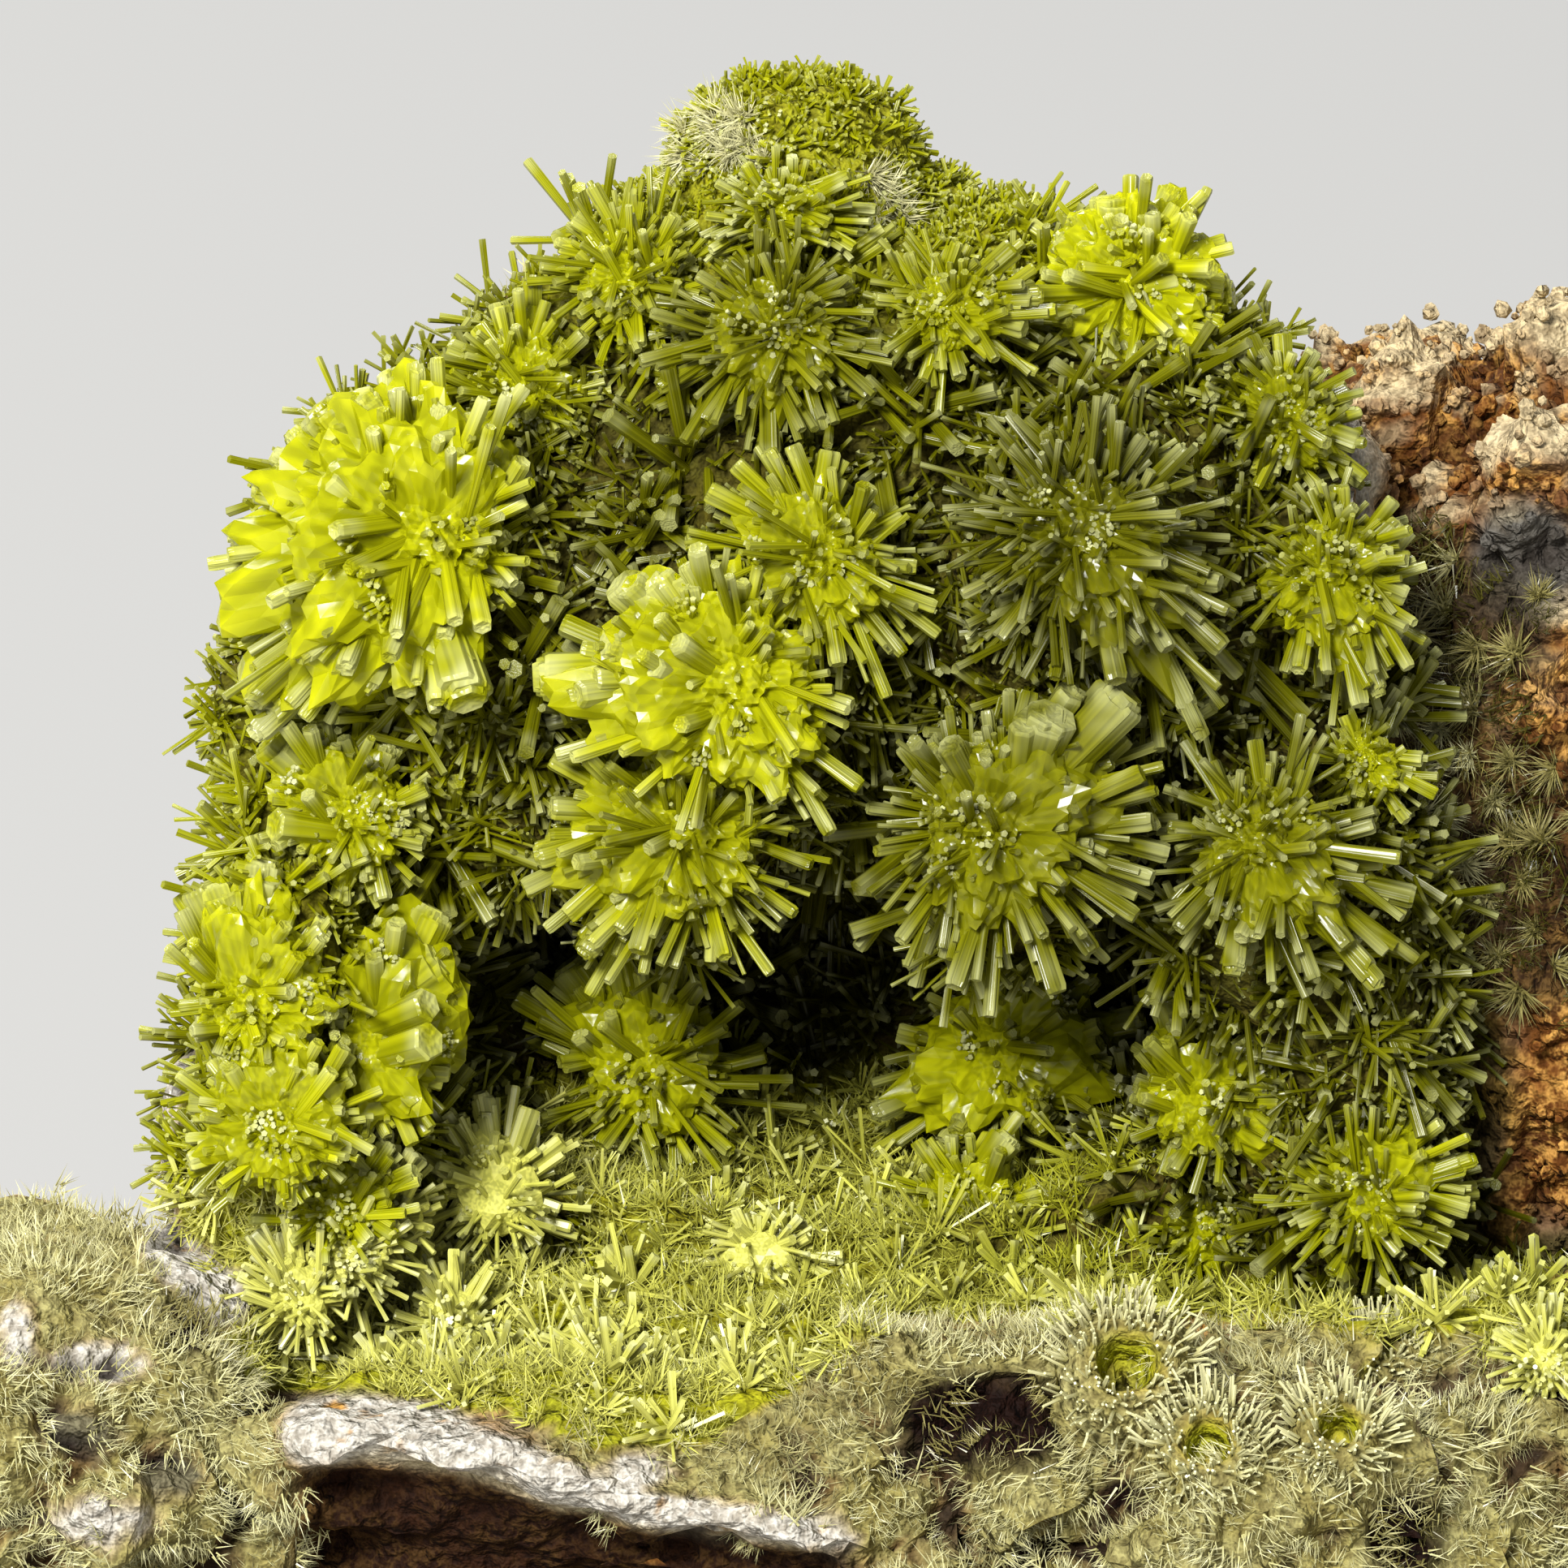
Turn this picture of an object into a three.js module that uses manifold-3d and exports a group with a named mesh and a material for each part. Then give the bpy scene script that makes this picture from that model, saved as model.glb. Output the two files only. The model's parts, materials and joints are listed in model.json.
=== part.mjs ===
// Pyromorphite on quartz: sprays of yellow-green hexagonal crystals round and inside an open hollow
// in a lump of rusty quartz. Millimetres, +Z up, the hollow opening towards -Y.
// The origin is on the sawn base, under the middle of the hollow.
import * as THREE from "three";
import { mergeVertices } from "three/addons/utils/BufferGeometryUtils.js";
import { ImprovedNoise } from "three/addons/math/ImprovedNoise.js";
import Module from "manifold-3d";

const wasm = await Module();
wasm.setup();

// Driving dimensions
const ROCK_WIDTH = 68;
const ROCK_HEIGHT = 55;
const ROCK_DEPTH = 40;
const GAP = 0.3; // left between pieces that grew against each other
const CRUST = 1.3; // how far the hollow's crust stands off the rock
const PIT_DEPTH = 2.6;
const SIDES = 6; // pyromorphite grows as hexagonal prisms

// The face is laid out as seen from a point this far in front of it and this far above level.
// A place on it is [across, up]: millimetres to the right of the middle, and up from the base.
const EYE_DISTANCE = 400;
const EYE_TILT = THREE.MathUtils.degToRad(15);
const EYE_UP = 29;
const RIGHT = new THREE.Vector3(1, 0, 0);
const UP = new THREE.Vector3(0, Math.sin(EYE_TILT), Math.cos(EYE_TILT));
const AWAY = new THREE.Vector3(0, Math.cos(EYE_TILT), -Math.sin(EYE_TILT));
const EYE = UP.clone().multiplyScalar(EYE_UP).addScaledVector(AWAY, -EYE_DISTANCE);

// The rock as overlapping lumps: centre, half sizes, and how rough. detail sets the facets.
const BODY = [
  { at: [1, 0, 4], size: [33, 21, 9.5], detail: 2, rough: 0.2 }, // base
  { at: [2, 9, 20], size: [25, 13, 23], detail: 1, rough: 0.2 }, // back wall
  { at: [1, 5.5, 42], size: [13, 9.5, 10], detail: 1, rough: 0.2 }, // crown
  { at: [0.5, 6, 51], size: [4.6, 4.4, 4.4], detail: 1, rough: 0.2 }, // summit
  { at: [-11, 2.5, 35], size: [8, 8, 10], detail: 1, rough: 0.2 }, // left shoulder
  { at: [12.5, 3.5, 37.5], size: [9.5, 8, 9.5], detail: 1, rough: 0.16 }, // right shoulder
  { at: [-18, 1, 19], size: [4.6, 10.5, 17], detail: 1, rough: 0.16 }, // left wall
  { at: [20, 4, 21], size: [4.8, 9.5, 19], detail: 1, rough: 0.16 }, // right wall
  { at: [27.5, 9, 22], size: [7.5, 9, 21], detail: 1, rough: 0.24 }, // rusty crest
  { at: [22.6, 12, 39.5], size: [4.8, 5, 5], detail: 1, rough: 0.3 }, // its knobs
  { at: [28.4, 9.5, 38.4], size: [5.8, 5.4, 6.6], detail: 1, rough: 0.3 },
  { at: [-26, -8, 8.4], size: [7.8, 10, 8.2], detail: 1, rough: 0.24 }, // left foot
  { at: [-7.5, -15.5, 9.4], size: [13, 4.6, 3.2], detail: 1, rough: 0.16 }, // front lip
  { at: [8, -14, 10.4], size: [6.5, 5.4, 3.6], detail: 1, rough: 0.16 }, // front ledge
  { at: [17, -14.5, 7], size: [9.4, 7, 5.8], detail: 1, rough: 0.24 }, // right foot
  { at: [28, -9, 7.4], size: [7.4, 9, 7], detail: 1, rough: 0.24 },
];
const HOLLOWS = [
  { at: [1, 0, 21.5], size: [16.5, 12, 8.5], detail: 1, rough: 0.08 }, // the vug
  { at: [0, -11, 18], size: [19, 10, 5.5], detail: 1, rough: 0.06 }, // its mouth
  { at: [-9, -25, 4.6], size: [14, 9, 3.4], detail: 1, rough: 0.1 }, // under the front lip
  { at: [8, -20.5, 7], size: [4.2, 4, 2.6], detail: 0, rough: 0.1 }, // cave in the right foot
];
const CURTAINS = [
  { at: [-1.5, -1.5, 36], size: [6, 5, 9], detail: 1, rough: 0.12 }, // hangs over the hollow
  { at: [-4, -3, 28.5], size: [3.6, 3.6, 4], detail: 1, rough: 0.12 },
  { at: [10.5, -2, 37], size: [6, 4.6, 8], detail: 1, rough: 0.12 },
  { at: [8, -3, 28.5], size: [3.8, 3.8, 4.6], detail: 1, rough: 0.12 },
  { at: [17.5, -2, 26.5], size: [4, 4.4, 6], detail: 1, rough: 0.12 },
];

// Separate sprays on the outside and the rim: place on the face, hub radius, how far the hub's
// middle stands off the rock, and its crystals as [tip across, tip up, degrees towards the
// viewer, width]
const SPRAYS = [
  {
    name: "spray_left_shoulder", at: [-13.1, 37.9], hub: 3.4, stand: 2.2,
    tips: [
      [-21.3, 37.1, 0, 1], [-19.6, 39.9, 5, 1.5], [-18, 42, 0, 1.5], [-16.4, 43.2, 10, 2],
      [-14.2, 44.2, 5, 1.5], [-20.3, 34.6, 10, 1.4], [-19.4, 31.2, 5, 1.7], [-16.6, 32.6, 30, 1.4],
      [-11.7, 32, 30, 1.9], [-9.8, 36.9, 15, 1.1],
    ],
  },
  {
    name: "spray_left_ridge_low", at: [-9.6, 43.4], hub: 2.4, stand: 1,
    tips: [
      [-12.4, 45.1, 0, 1], [-11, 46.2, 0, 1], [-9.4, 47.3, 5, 1.1], [-7.4, 45.6, 30, 0.9],
      [-10.6, 41.6, 35, 0.9],
    ],
  },
  {
    name: "spray_left_ridge_high", at: [-5.6, 47.6], hub: 2.4, stand: 1,
    tips: [
      [-8.9, 48.4, 0, 1], [-8.1, 49.7, 5, 1], [-6.8, 51, 0, 0.9], [-4, 50, 20, 0.9],
      [-5.4, 45.4, 35, 0.9],
    ],
  },
  {
    name: "spray_summit", at: [0, 50.1], hub: 1.8, stand: 1.4,
    tips: [
      [-2.7, 49.4, 20, 0.8], [-1.6, 52, 10, 0.7], [2.4, 51.6, 20, 0.8], [3.3, 50, 15, 0.7],
    ],
  },
  {
    name: "spray_crown", at: [-0.2, 45.8], hub: 2.6, stand: 1.2,
    tips: [
      [-4.9, 44.7, 15, 0.9], [-0.5, 41.4, 25, 1], [-3, 43, 35, 0.9], [3.2, 43.4, 20, 0.9],
    ],
  },
  {
    name: "spray_crown_right", at: [6, 46.4], hub: 1.9, stand: 1.4,
    tips: [
      [8.4, 48.8, 15, 1], [9.3, 46.9, 10, 1.1], [5.2, 44, 15, 0.9], [3.6, 46.9, 5, 0.8],
      [7.4, 44.8, 35, 0.8],
    ],
  },
  {
    name: "spray_right_horn", at: [12.8, 47.3], hub: 3, stand: 2.4,
    tips: [
      [8.9, 44.9, 20, 1.4], [10.4, 49.7, 10, 1.4], [12.4, 50.6, 5, 1.8], [14.5, 51, 0, 1.2],
      [16.4, 47.2, 5, 1.5], [15.7, 44.8, 30, 1.4], [12.5, 44, 30, 1],
    ],
  },
  {
    name: "spray_centre_top", at: [1.3, 37.3], hub: 2.4, stand: 2,
    tips: [
      [-2.8, 39.7, 10, 1], [-3.6, 37.6, 10, 0.9], [1.2, 41.4, 10, 1],
      [4.6, 38.8, 0, 0.8], [5.4, 35.4, 10, 0.8], [3.7, 32.8, 20, 0.7],
    ],
  },
  {
    name: "spray_centre_blades", at: [-1.9, 32.8], hub: 2.4, stand: 2.6,
    tips: [
      [-6.1, 36.4, 15, 2.3], [-9.2, 33, 5, 1.4], [-7.2, 31, 10, 1.6], [-3.8, 36.2, 0, 0.9],
      [2.7, 28.9, 20, 0.9], [2.4, 32, 20, 0.8],
    ],
  },
  {
    name: "spray_centre_low", at: [-3.5, 27.2], hub: 2.6, stand: 2.2,
    tips: [
      [-8.4, 29.5, 5, 1], [-9, 27, 10, 1.4], [-8, 24.4, 5, 1.1], [-7.2, 22.8, 15, 1.2],
      [-0.6, 22, 15, 0.8], [-2.6, 22.6, 30, 0.8],
    ],
  },
  {
    name: "spray_right_blades", at: [7.5, 27.5], hub: 2.6, stand: 2.4,
    tips: [
      [12.5, 32.2, 20, 1.8], [9.6, 31.8, 35, 1.8], [6.1, 30.5, 45, 1.3], [13.8, 28.2, 5, 1],
      [14.1, 26.2, 0, 1], [10.8, 21.8, 15, 1], [7, 20.8, 15, 0.9], [3.4, 26.5, 20, 0.8],
    ],
  },
  {
    name: "spray_right_dome", at: [10.9, 38.2], hub: 3.2, stand: 2,
    tips: [
      [8.1, 41.6, 5, 0.8], [10, 42, 10, 0.8], [13.2, 41.7, 10, 0.9], [10, 33, 20, 0.8],
      [12.3, 32.9, 20, 1.1], [16.1, 34, 15, 1], [15.8, 36.8, 15, 1],
    ],
  },
  {
    name: "spray_right_rim_high", at: [18.6, 42.4], hub: 2.2, stand: 1.2,
    tips: [[17.2, 45.4, 0, 1], [19.2, 45.2, 0, 1], [21, 41.6, 10, 1.2], [20.9, 43.4, 0, 1]],
  },
  {
    name: "spray_right_rim", at: [20, 36.9], hub: 2.6, stand: 1.8,
    tips: [[22.8, 38.9, 10, 1.4], [23, 36, 10, 1.2], [22, 32.2, 15, 1.1], [19, 33.4, 30, 0.9]],
  },
  {
    name: "spray_right_tuft", at: [21.4, 29.8], hub: 1.3, stand: 1.2,
    tips: [[20.7, 31.6, 10, 0.7], [24, 28.6, 10, 0.7], [23.4, 30.2, 10, 0.7]],
  },
  {
    name: "spray_right_low", at: [17.6, 26.8], hub: 2.6, stand: 1.8,
    tips: [
      [23, 24.9, 0, 1], [21.8, 27.3, 5, 0.9], [22, 21.5, 10, 1.1], [16.6, 22, 15, 1.1],
      [15.8, 29.9, 5, 1],
    ],
  },
  {
    name: "spray_left_rim", at: [-16, 27.7], hub: 2.3, stand: 1.8,
    tips: [[-19, 30.6, 10, 1.8], [-14.6, 30.5, 15, 1.1], [-13, 26.8, 20, 0.9], [-15, 24.8, 20, 0.9]],
  },
  {
    name: "spray_left_wall", at: [-19.6, 20.8], hub: 2.2, stand: 1.2,
    tips: [[-20.9, 25, 0, 1.2], [-18.9, 25.7, 5, 1.1], [-17.2, 23.4, 15, 1.2], [-19, 17.8, 25, 1]],
  },
];

// Sprays that grew inside the hollow, fused with its crust
const HOLLOW_SPRAYS = [
  {
    at: [-15.6, 19.3], hub: 2, stand: 0.8,
    tips: [[-12.6, 22.2, 20, 2.1], [-12.9, 24.3, 5, 1.5], [-17, 23, 5, 1.2]],
  },
  {
    at: [-5.1, 18.4], hub: 2.4, stand: 1,
    tips: [[-9.8, 21, 10, 1.1], [-7.9, 22.2, 5, 1.5], [-4, 22.3, 10, 1.3]],
  },
  {
    at: [8, 19], hub: 2.2, stand: 1,
    tips: [[12.8, 20.2, 5, 1.2], [3.6, 17.1, 15, 1], [7, 16.4, 35, 1.1]],
  },
  {
    at: [15.6, 17.2], hub: 2.2, stand: 1,
    tips: [[14.4, 20.7, 5, 1.2], [19, 20.2, 5, 1.2], [14.4, 14.6, 30, 1]],
  },
  {
    at: [21.6, 13.8], hub: 2.3, stand: 1,
    tips: [
      [21.3, 18.2, 5, 1], [23.8, 17, 10, 1], [25.4, 15, 10, 1.2], [19.6, 11.4, 25, 1],
    ],
  },
  { at: [6.6, 13.4], hub: 1.7, stand: 0.4, tips: [[8.4, 16, 10, 1.3]] },
  { at: [-14, 11.4], hub: 1.7, stand: 0.4, tips: [[-13.8, 13.9, 20, 0.8], [-17, 13.6, 10, 0.8]] },
];

// Where the crust lies on the rock
const HOLLOW_ZONE = { at: [0.5, -5, 18], size: [25, 17, 13], detail: 0, rough: 0 };

// Broken stalk ends on the right foot, each a collar round a hole: place on the face and radius
const PITS = [
  { at: [12.6, 7.2], radius: 1.9 },
  { at: [20.5, 4.8], radius: 1.3 },
  { at: [15.7, 4.3], radius: 1.5 },
];

const perlin = new ImprovedNoise();
const noiseAt = (p, scale, shift) =>
  perlin.noise(p.x * scale + shift, p.y * scale - shift, p.z * scale + 2 * shift);

function solidOf(geometry) {
  geometry.deleteAttribute("normal");
  geometry.deleteAttribute("uv");
  const merged = mergeVertices(geometry, 1e-4);
  return new wasm.Manifold(
    new wasm.Mesh({
      numProp: 3,
      vertProperties: merged.attributes.position.array,
      triVerts: new Uint32Array(merged.index.array),
    }),
  );
}

function geometryOf(solid) {
  const { vertProperties, triVerts } = solid.getMesh();
  return new THREE.BufferGeometry()
    .setAttribute("position", new THREE.BufferAttribute(vertProperties, 3))
    .setIndex(new THREE.BufferAttribute(triVerts, 1));
}

const joined = (solids) => solids.reduce((all, next) => all.add(next));

// The largest body of a solid, without the chips that a cut leaves
function largest(solid) {
  const bodies = solid.decompose();
  return bodies.reduce((best, next) => (next.volume() > best.volume() ? next : best));
}

// A rough ellipsoid, grown outwards by the given distance
function lump({ at, size, detail, rough }, grow = 0) {
  const geometry = new THREE.IcosahedronGeometry(1, detail);
  const half = new THREE.Vector3(...size);
  const middle = new THREE.Vector3(...at);
  const points = geometry.attributes.position;
  for (let i = 0; i < points.count; i++) {
    const direction = new THREE.Vector3().fromBufferAttribute(points, i);
    const outward = direction.clone().divide(half).normalize();
    const swell = 1 + rough * (noiseAt(direction, 1.7, at[0]) + 0.6 * noiseAt(direction, 4.1, at[2]));
    const point = direction.multiply(half).multiplyScalar(swell).addScaledVector(outward, grow).add(middle);
    points.setXYZ(i, point.x, point.y, point.z);
  }
  return solidOf(geometry);
}

// All the rock without its pits, grown by the given distance, before its base is sawn flat
function boulder(grow = 0) {
  const body = joined(BODY.map((part) => lump(part, grow)));
  const cut = joined(HOLLOWS.map((part) => lump(part, -grow)));
  return body.subtract(cut).add(joined(CURTAINS.map((part) => lump(part, grow))));
}

// Everything above the sawn base
function aboveBase(solid) {
  const block = new THREE.BoxGeometry(2 * ROCK_WIDTH, 2 * ROCK_DEPTH, ROCK_HEIGHT);
  return solid.subtract(solidOf(block.translate(0, 0, -ROCK_HEIGHT / 2)));
}

const BOULDER = largest(aboveBase(boulder()));
const SURFACE = new THREE.Mesh(geometryOf(BOULDER), new THREE.MeshBasicMaterial({ side: THREE.DoubleSide }));

// The point that a place on the face shows on the picture plane through the base's middle
const onPlane = ([across, up]) => UP.clone().multiplyScalar(up).addScaledVector(RIGHT, across);

// Where the line of sight through a place on the face meets the rock
function seatAt(place) {
  const sight = onPlane(place).sub(EYE).normalize();
  const [hit] = new THREE.Raycaster(EYE, sight).intersectObject(SURFACE);
  if (!hit) throw new Error("there is no rock at " + place);
  return { point: hit.point, normal: hit.face.normal.clone(), sight };
}

// Collars and holes of the pits, each a tapered post with its middle on the rock
function pitPosts(top, foot, height, sides) {
  const posts = PITS.map(({ at, radius }) => {
    const { point, normal, sight } = seatAt(at);
    const axis = normal.clone().addScaledVector(sight, -1).normalize();
    const turn = new THREE.Quaternion().setFromUnitVectors(new THREE.Vector3(0, 1, 0), axis);
    const post = new THREE.CylinderGeometry(radius * top, radius * foot, height, sides);
    return solidOf(post.applyQuaternion(turn).translate(point.x, point.y, point.z));
  });
  return joined(posts);
}

const HOLES = pitPosts(0.6, 0.4, 2 * PIT_DEPTH, 5);
const ROCK = largest(BOULDER.add(pitPosts(0.9, 1.6, PIT_DEPTH, 7)).subtract(HOLES));
const CLEARANCE = boulder(GAP).add(pitPosts(1.1, 1.9, PIT_DEPTH + 2 * GAP, 7));

// A hexagonal prism from a root point
function prism(root, { direction, length, width }, grow = 0) {
  const corners = Array.from({ length: SIDES }, (_, i) =>
    new THREE.Vector2(width / 2 + grow, 0).rotateAround(new THREE.Vector2(), (i * 2 * Math.PI) / SIDES),
  );
  const settings = { depth: length + grow, bevelEnabled: false };
  const shape = new THREE.ExtrudeGeometry(new THREE.Shape(corners), settings);
  shape.applyQuaternion(new THREE.Quaternion().setFromUnitVectors(new THREE.Vector3(0, 0, 1), direction));
  return solidOf(shape.translate(root.x, root.y, root.z));
}

// A spray's crystals as { direction, length, width }
function crystalsOf(spray, middle, sight) {
  const scale = middle.clone().sub(EYE).dot(AWAY) / EYE_DISTANCE;
  return spray.tips.map(([across, up, towards, width]) => {
    const line = onPlane([across - spray.at[0], up - spray.at[1]]).multiplyScalar(scale);
    line.addScaledVector(sight, -line.length() * Math.tan(THREE.MathUtils.degToRad(towards)));
    return { direction: line.clone().normalize(), length: line.length(), width };
  });
}

function sprayBody(spray, grow = 0) {
  const { point, sight } = seatAt(spray.at);
  const middle = point.clone().addScaledVector(sight, -spray.stand);
  const hub = lump({ at: middle.toArray(), size: Array(3).fill(spray.hub), detail: 0, rough: 0 }, grow);
  const crystals = crystalsOf(spray, middle, sight);
  return joined([hub, ...crystals.map((crystal) => prism(middle, crystal, grow))]);
}

// The separate sprays: each one keeps clear of the rock and of those before it
function separateSprays() {
  const solids = [];
  SPRAYS.forEach((spray, i) => {
    const earlier = SPRAYS.slice(0, i).map((other) => sprayBody(other, GAP));
    solids.push(largest(sprayBody(spray).subtract(joined([CLEARANCE, ...earlier]))));
  });
  return solids;
}

const clearOfSprays = (solid) => solid.subtract(joined(SPRAYS.map((spray) => sprayBody(spray, GAP))));

// The hollow's crust with the sprays that stand in it
function hollowCrust() {
  const lining = boulder(CRUST).intersect(lump(HOLLOW_ZONE));
  const grown = joined([lining, ...HOLLOW_SPRAYS.map((spray) => sprayBody(spray))]);
  return largest(clearOfSprays(grown.subtract(CLEARANCE)));
}

const QUARTZ = new THREE.MeshStandardMaterial({ color: "#b79a7c", roughness: 0.85, metalness: 0 });
const PYROMORPHITE = new THREE.MeshStandardMaterial({ color: "#a9b41c", roughness: 0.3, metalness: 0 });

const specimen = new THREE.Group();
function addPiece(name, solid, material) {
  const mesh = new THREE.Mesh(geometryOf(solid), material);
  mesh.name = name;
  specimen.add(mesh);
}

addPiece("quartz_matrix", ROCK, QUARTZ);
addPiece("hollow_crust", hollowCrust(), PYROMORPHITE);
separateSprays().forEach((solid, i) => addPiece(SPRAYS[i].name, solid, PYROMORPHITE));

export default specimen;
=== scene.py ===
"""Looks of a pyromorphite on quartz specimen: rock relief, crystal sprays, druses, stage."""

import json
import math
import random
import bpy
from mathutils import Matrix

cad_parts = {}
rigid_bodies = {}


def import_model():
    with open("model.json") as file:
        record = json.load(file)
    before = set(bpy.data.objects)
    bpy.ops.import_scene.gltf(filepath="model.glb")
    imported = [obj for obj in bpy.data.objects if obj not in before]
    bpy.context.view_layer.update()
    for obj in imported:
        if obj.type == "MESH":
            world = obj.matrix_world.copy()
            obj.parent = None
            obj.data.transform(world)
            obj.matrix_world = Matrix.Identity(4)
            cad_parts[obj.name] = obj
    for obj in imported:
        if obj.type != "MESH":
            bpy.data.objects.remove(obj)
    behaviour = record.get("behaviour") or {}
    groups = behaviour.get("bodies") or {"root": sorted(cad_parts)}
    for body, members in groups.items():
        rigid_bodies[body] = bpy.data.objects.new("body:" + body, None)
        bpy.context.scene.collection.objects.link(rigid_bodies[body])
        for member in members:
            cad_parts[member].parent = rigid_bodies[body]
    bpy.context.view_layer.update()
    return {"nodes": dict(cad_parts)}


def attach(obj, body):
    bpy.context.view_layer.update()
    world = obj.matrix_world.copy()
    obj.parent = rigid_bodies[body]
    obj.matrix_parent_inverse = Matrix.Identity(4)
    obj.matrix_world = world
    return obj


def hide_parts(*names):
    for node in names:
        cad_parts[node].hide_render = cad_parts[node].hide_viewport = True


bl_info = {
    "name": "Pyromorphite on Quartz",
    "version": (1, 0, 0),
    "blender": (4, 5, 0),
    "location": "View3D > Sidebar > Specimen",
    "description": "Dresses the solids of a pyromorphite on quartz specimen",
    "category": "Object",
}

from collections import namedtuple

import bmesh
import bpy
import mathutils.noise
import numpy as np
from bpy.props import FloatProperty, FloatVectorProperty, IntProperty, PointerProperty
from mathutils import Matrix, Vector
from mathutils.bvhtree import BVHTree

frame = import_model()
BODY = "root"
MM = 0.001

# The face is laid out as seen from this far in front of it and this angle above level.
# A place on it is (across, up): millimetres to the right of the middle, and up from the base.
EYE_DISTANCE = 400.0
EYE_TILT = math.radians(15)
EYE_UP = 28.98
VIEW_WIDTH = 57.96
RIGHT = Vector((1, 0, 0))
UP = Vector((0, math.sin(EYE_TILT), math.cos(EYE_TILT)))
AWAY = Vector((0, math.cos(EYE_TILT), -math.sin(EYE_TILT)))
EYE = UP * EYE_UP - AWAY * EYE_DISTANCE

# A spray of crystals. at is its place on the face, hub the radius of its dense middle and stand
# how far that stands off the rock. tips are its main crystals as (tip across, tip up, degrees
# towards the viewer, width). fill crystals of about the given width grow between them, and those
# that point at the viewer reach front times as far. bright runs from 0, olive in the shade of the
# hollow, to 1, the yellow of the lit rim, and pale is how far the ends are whitish. fused is how
# far the crystals have grown together, and rise how far the spray turns upwards.
Spray = namedtuple(
    "Spray", "name at hub stand tips fill width front bright pale fused rise", defaults=(1.0, 0.0)
)

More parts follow.
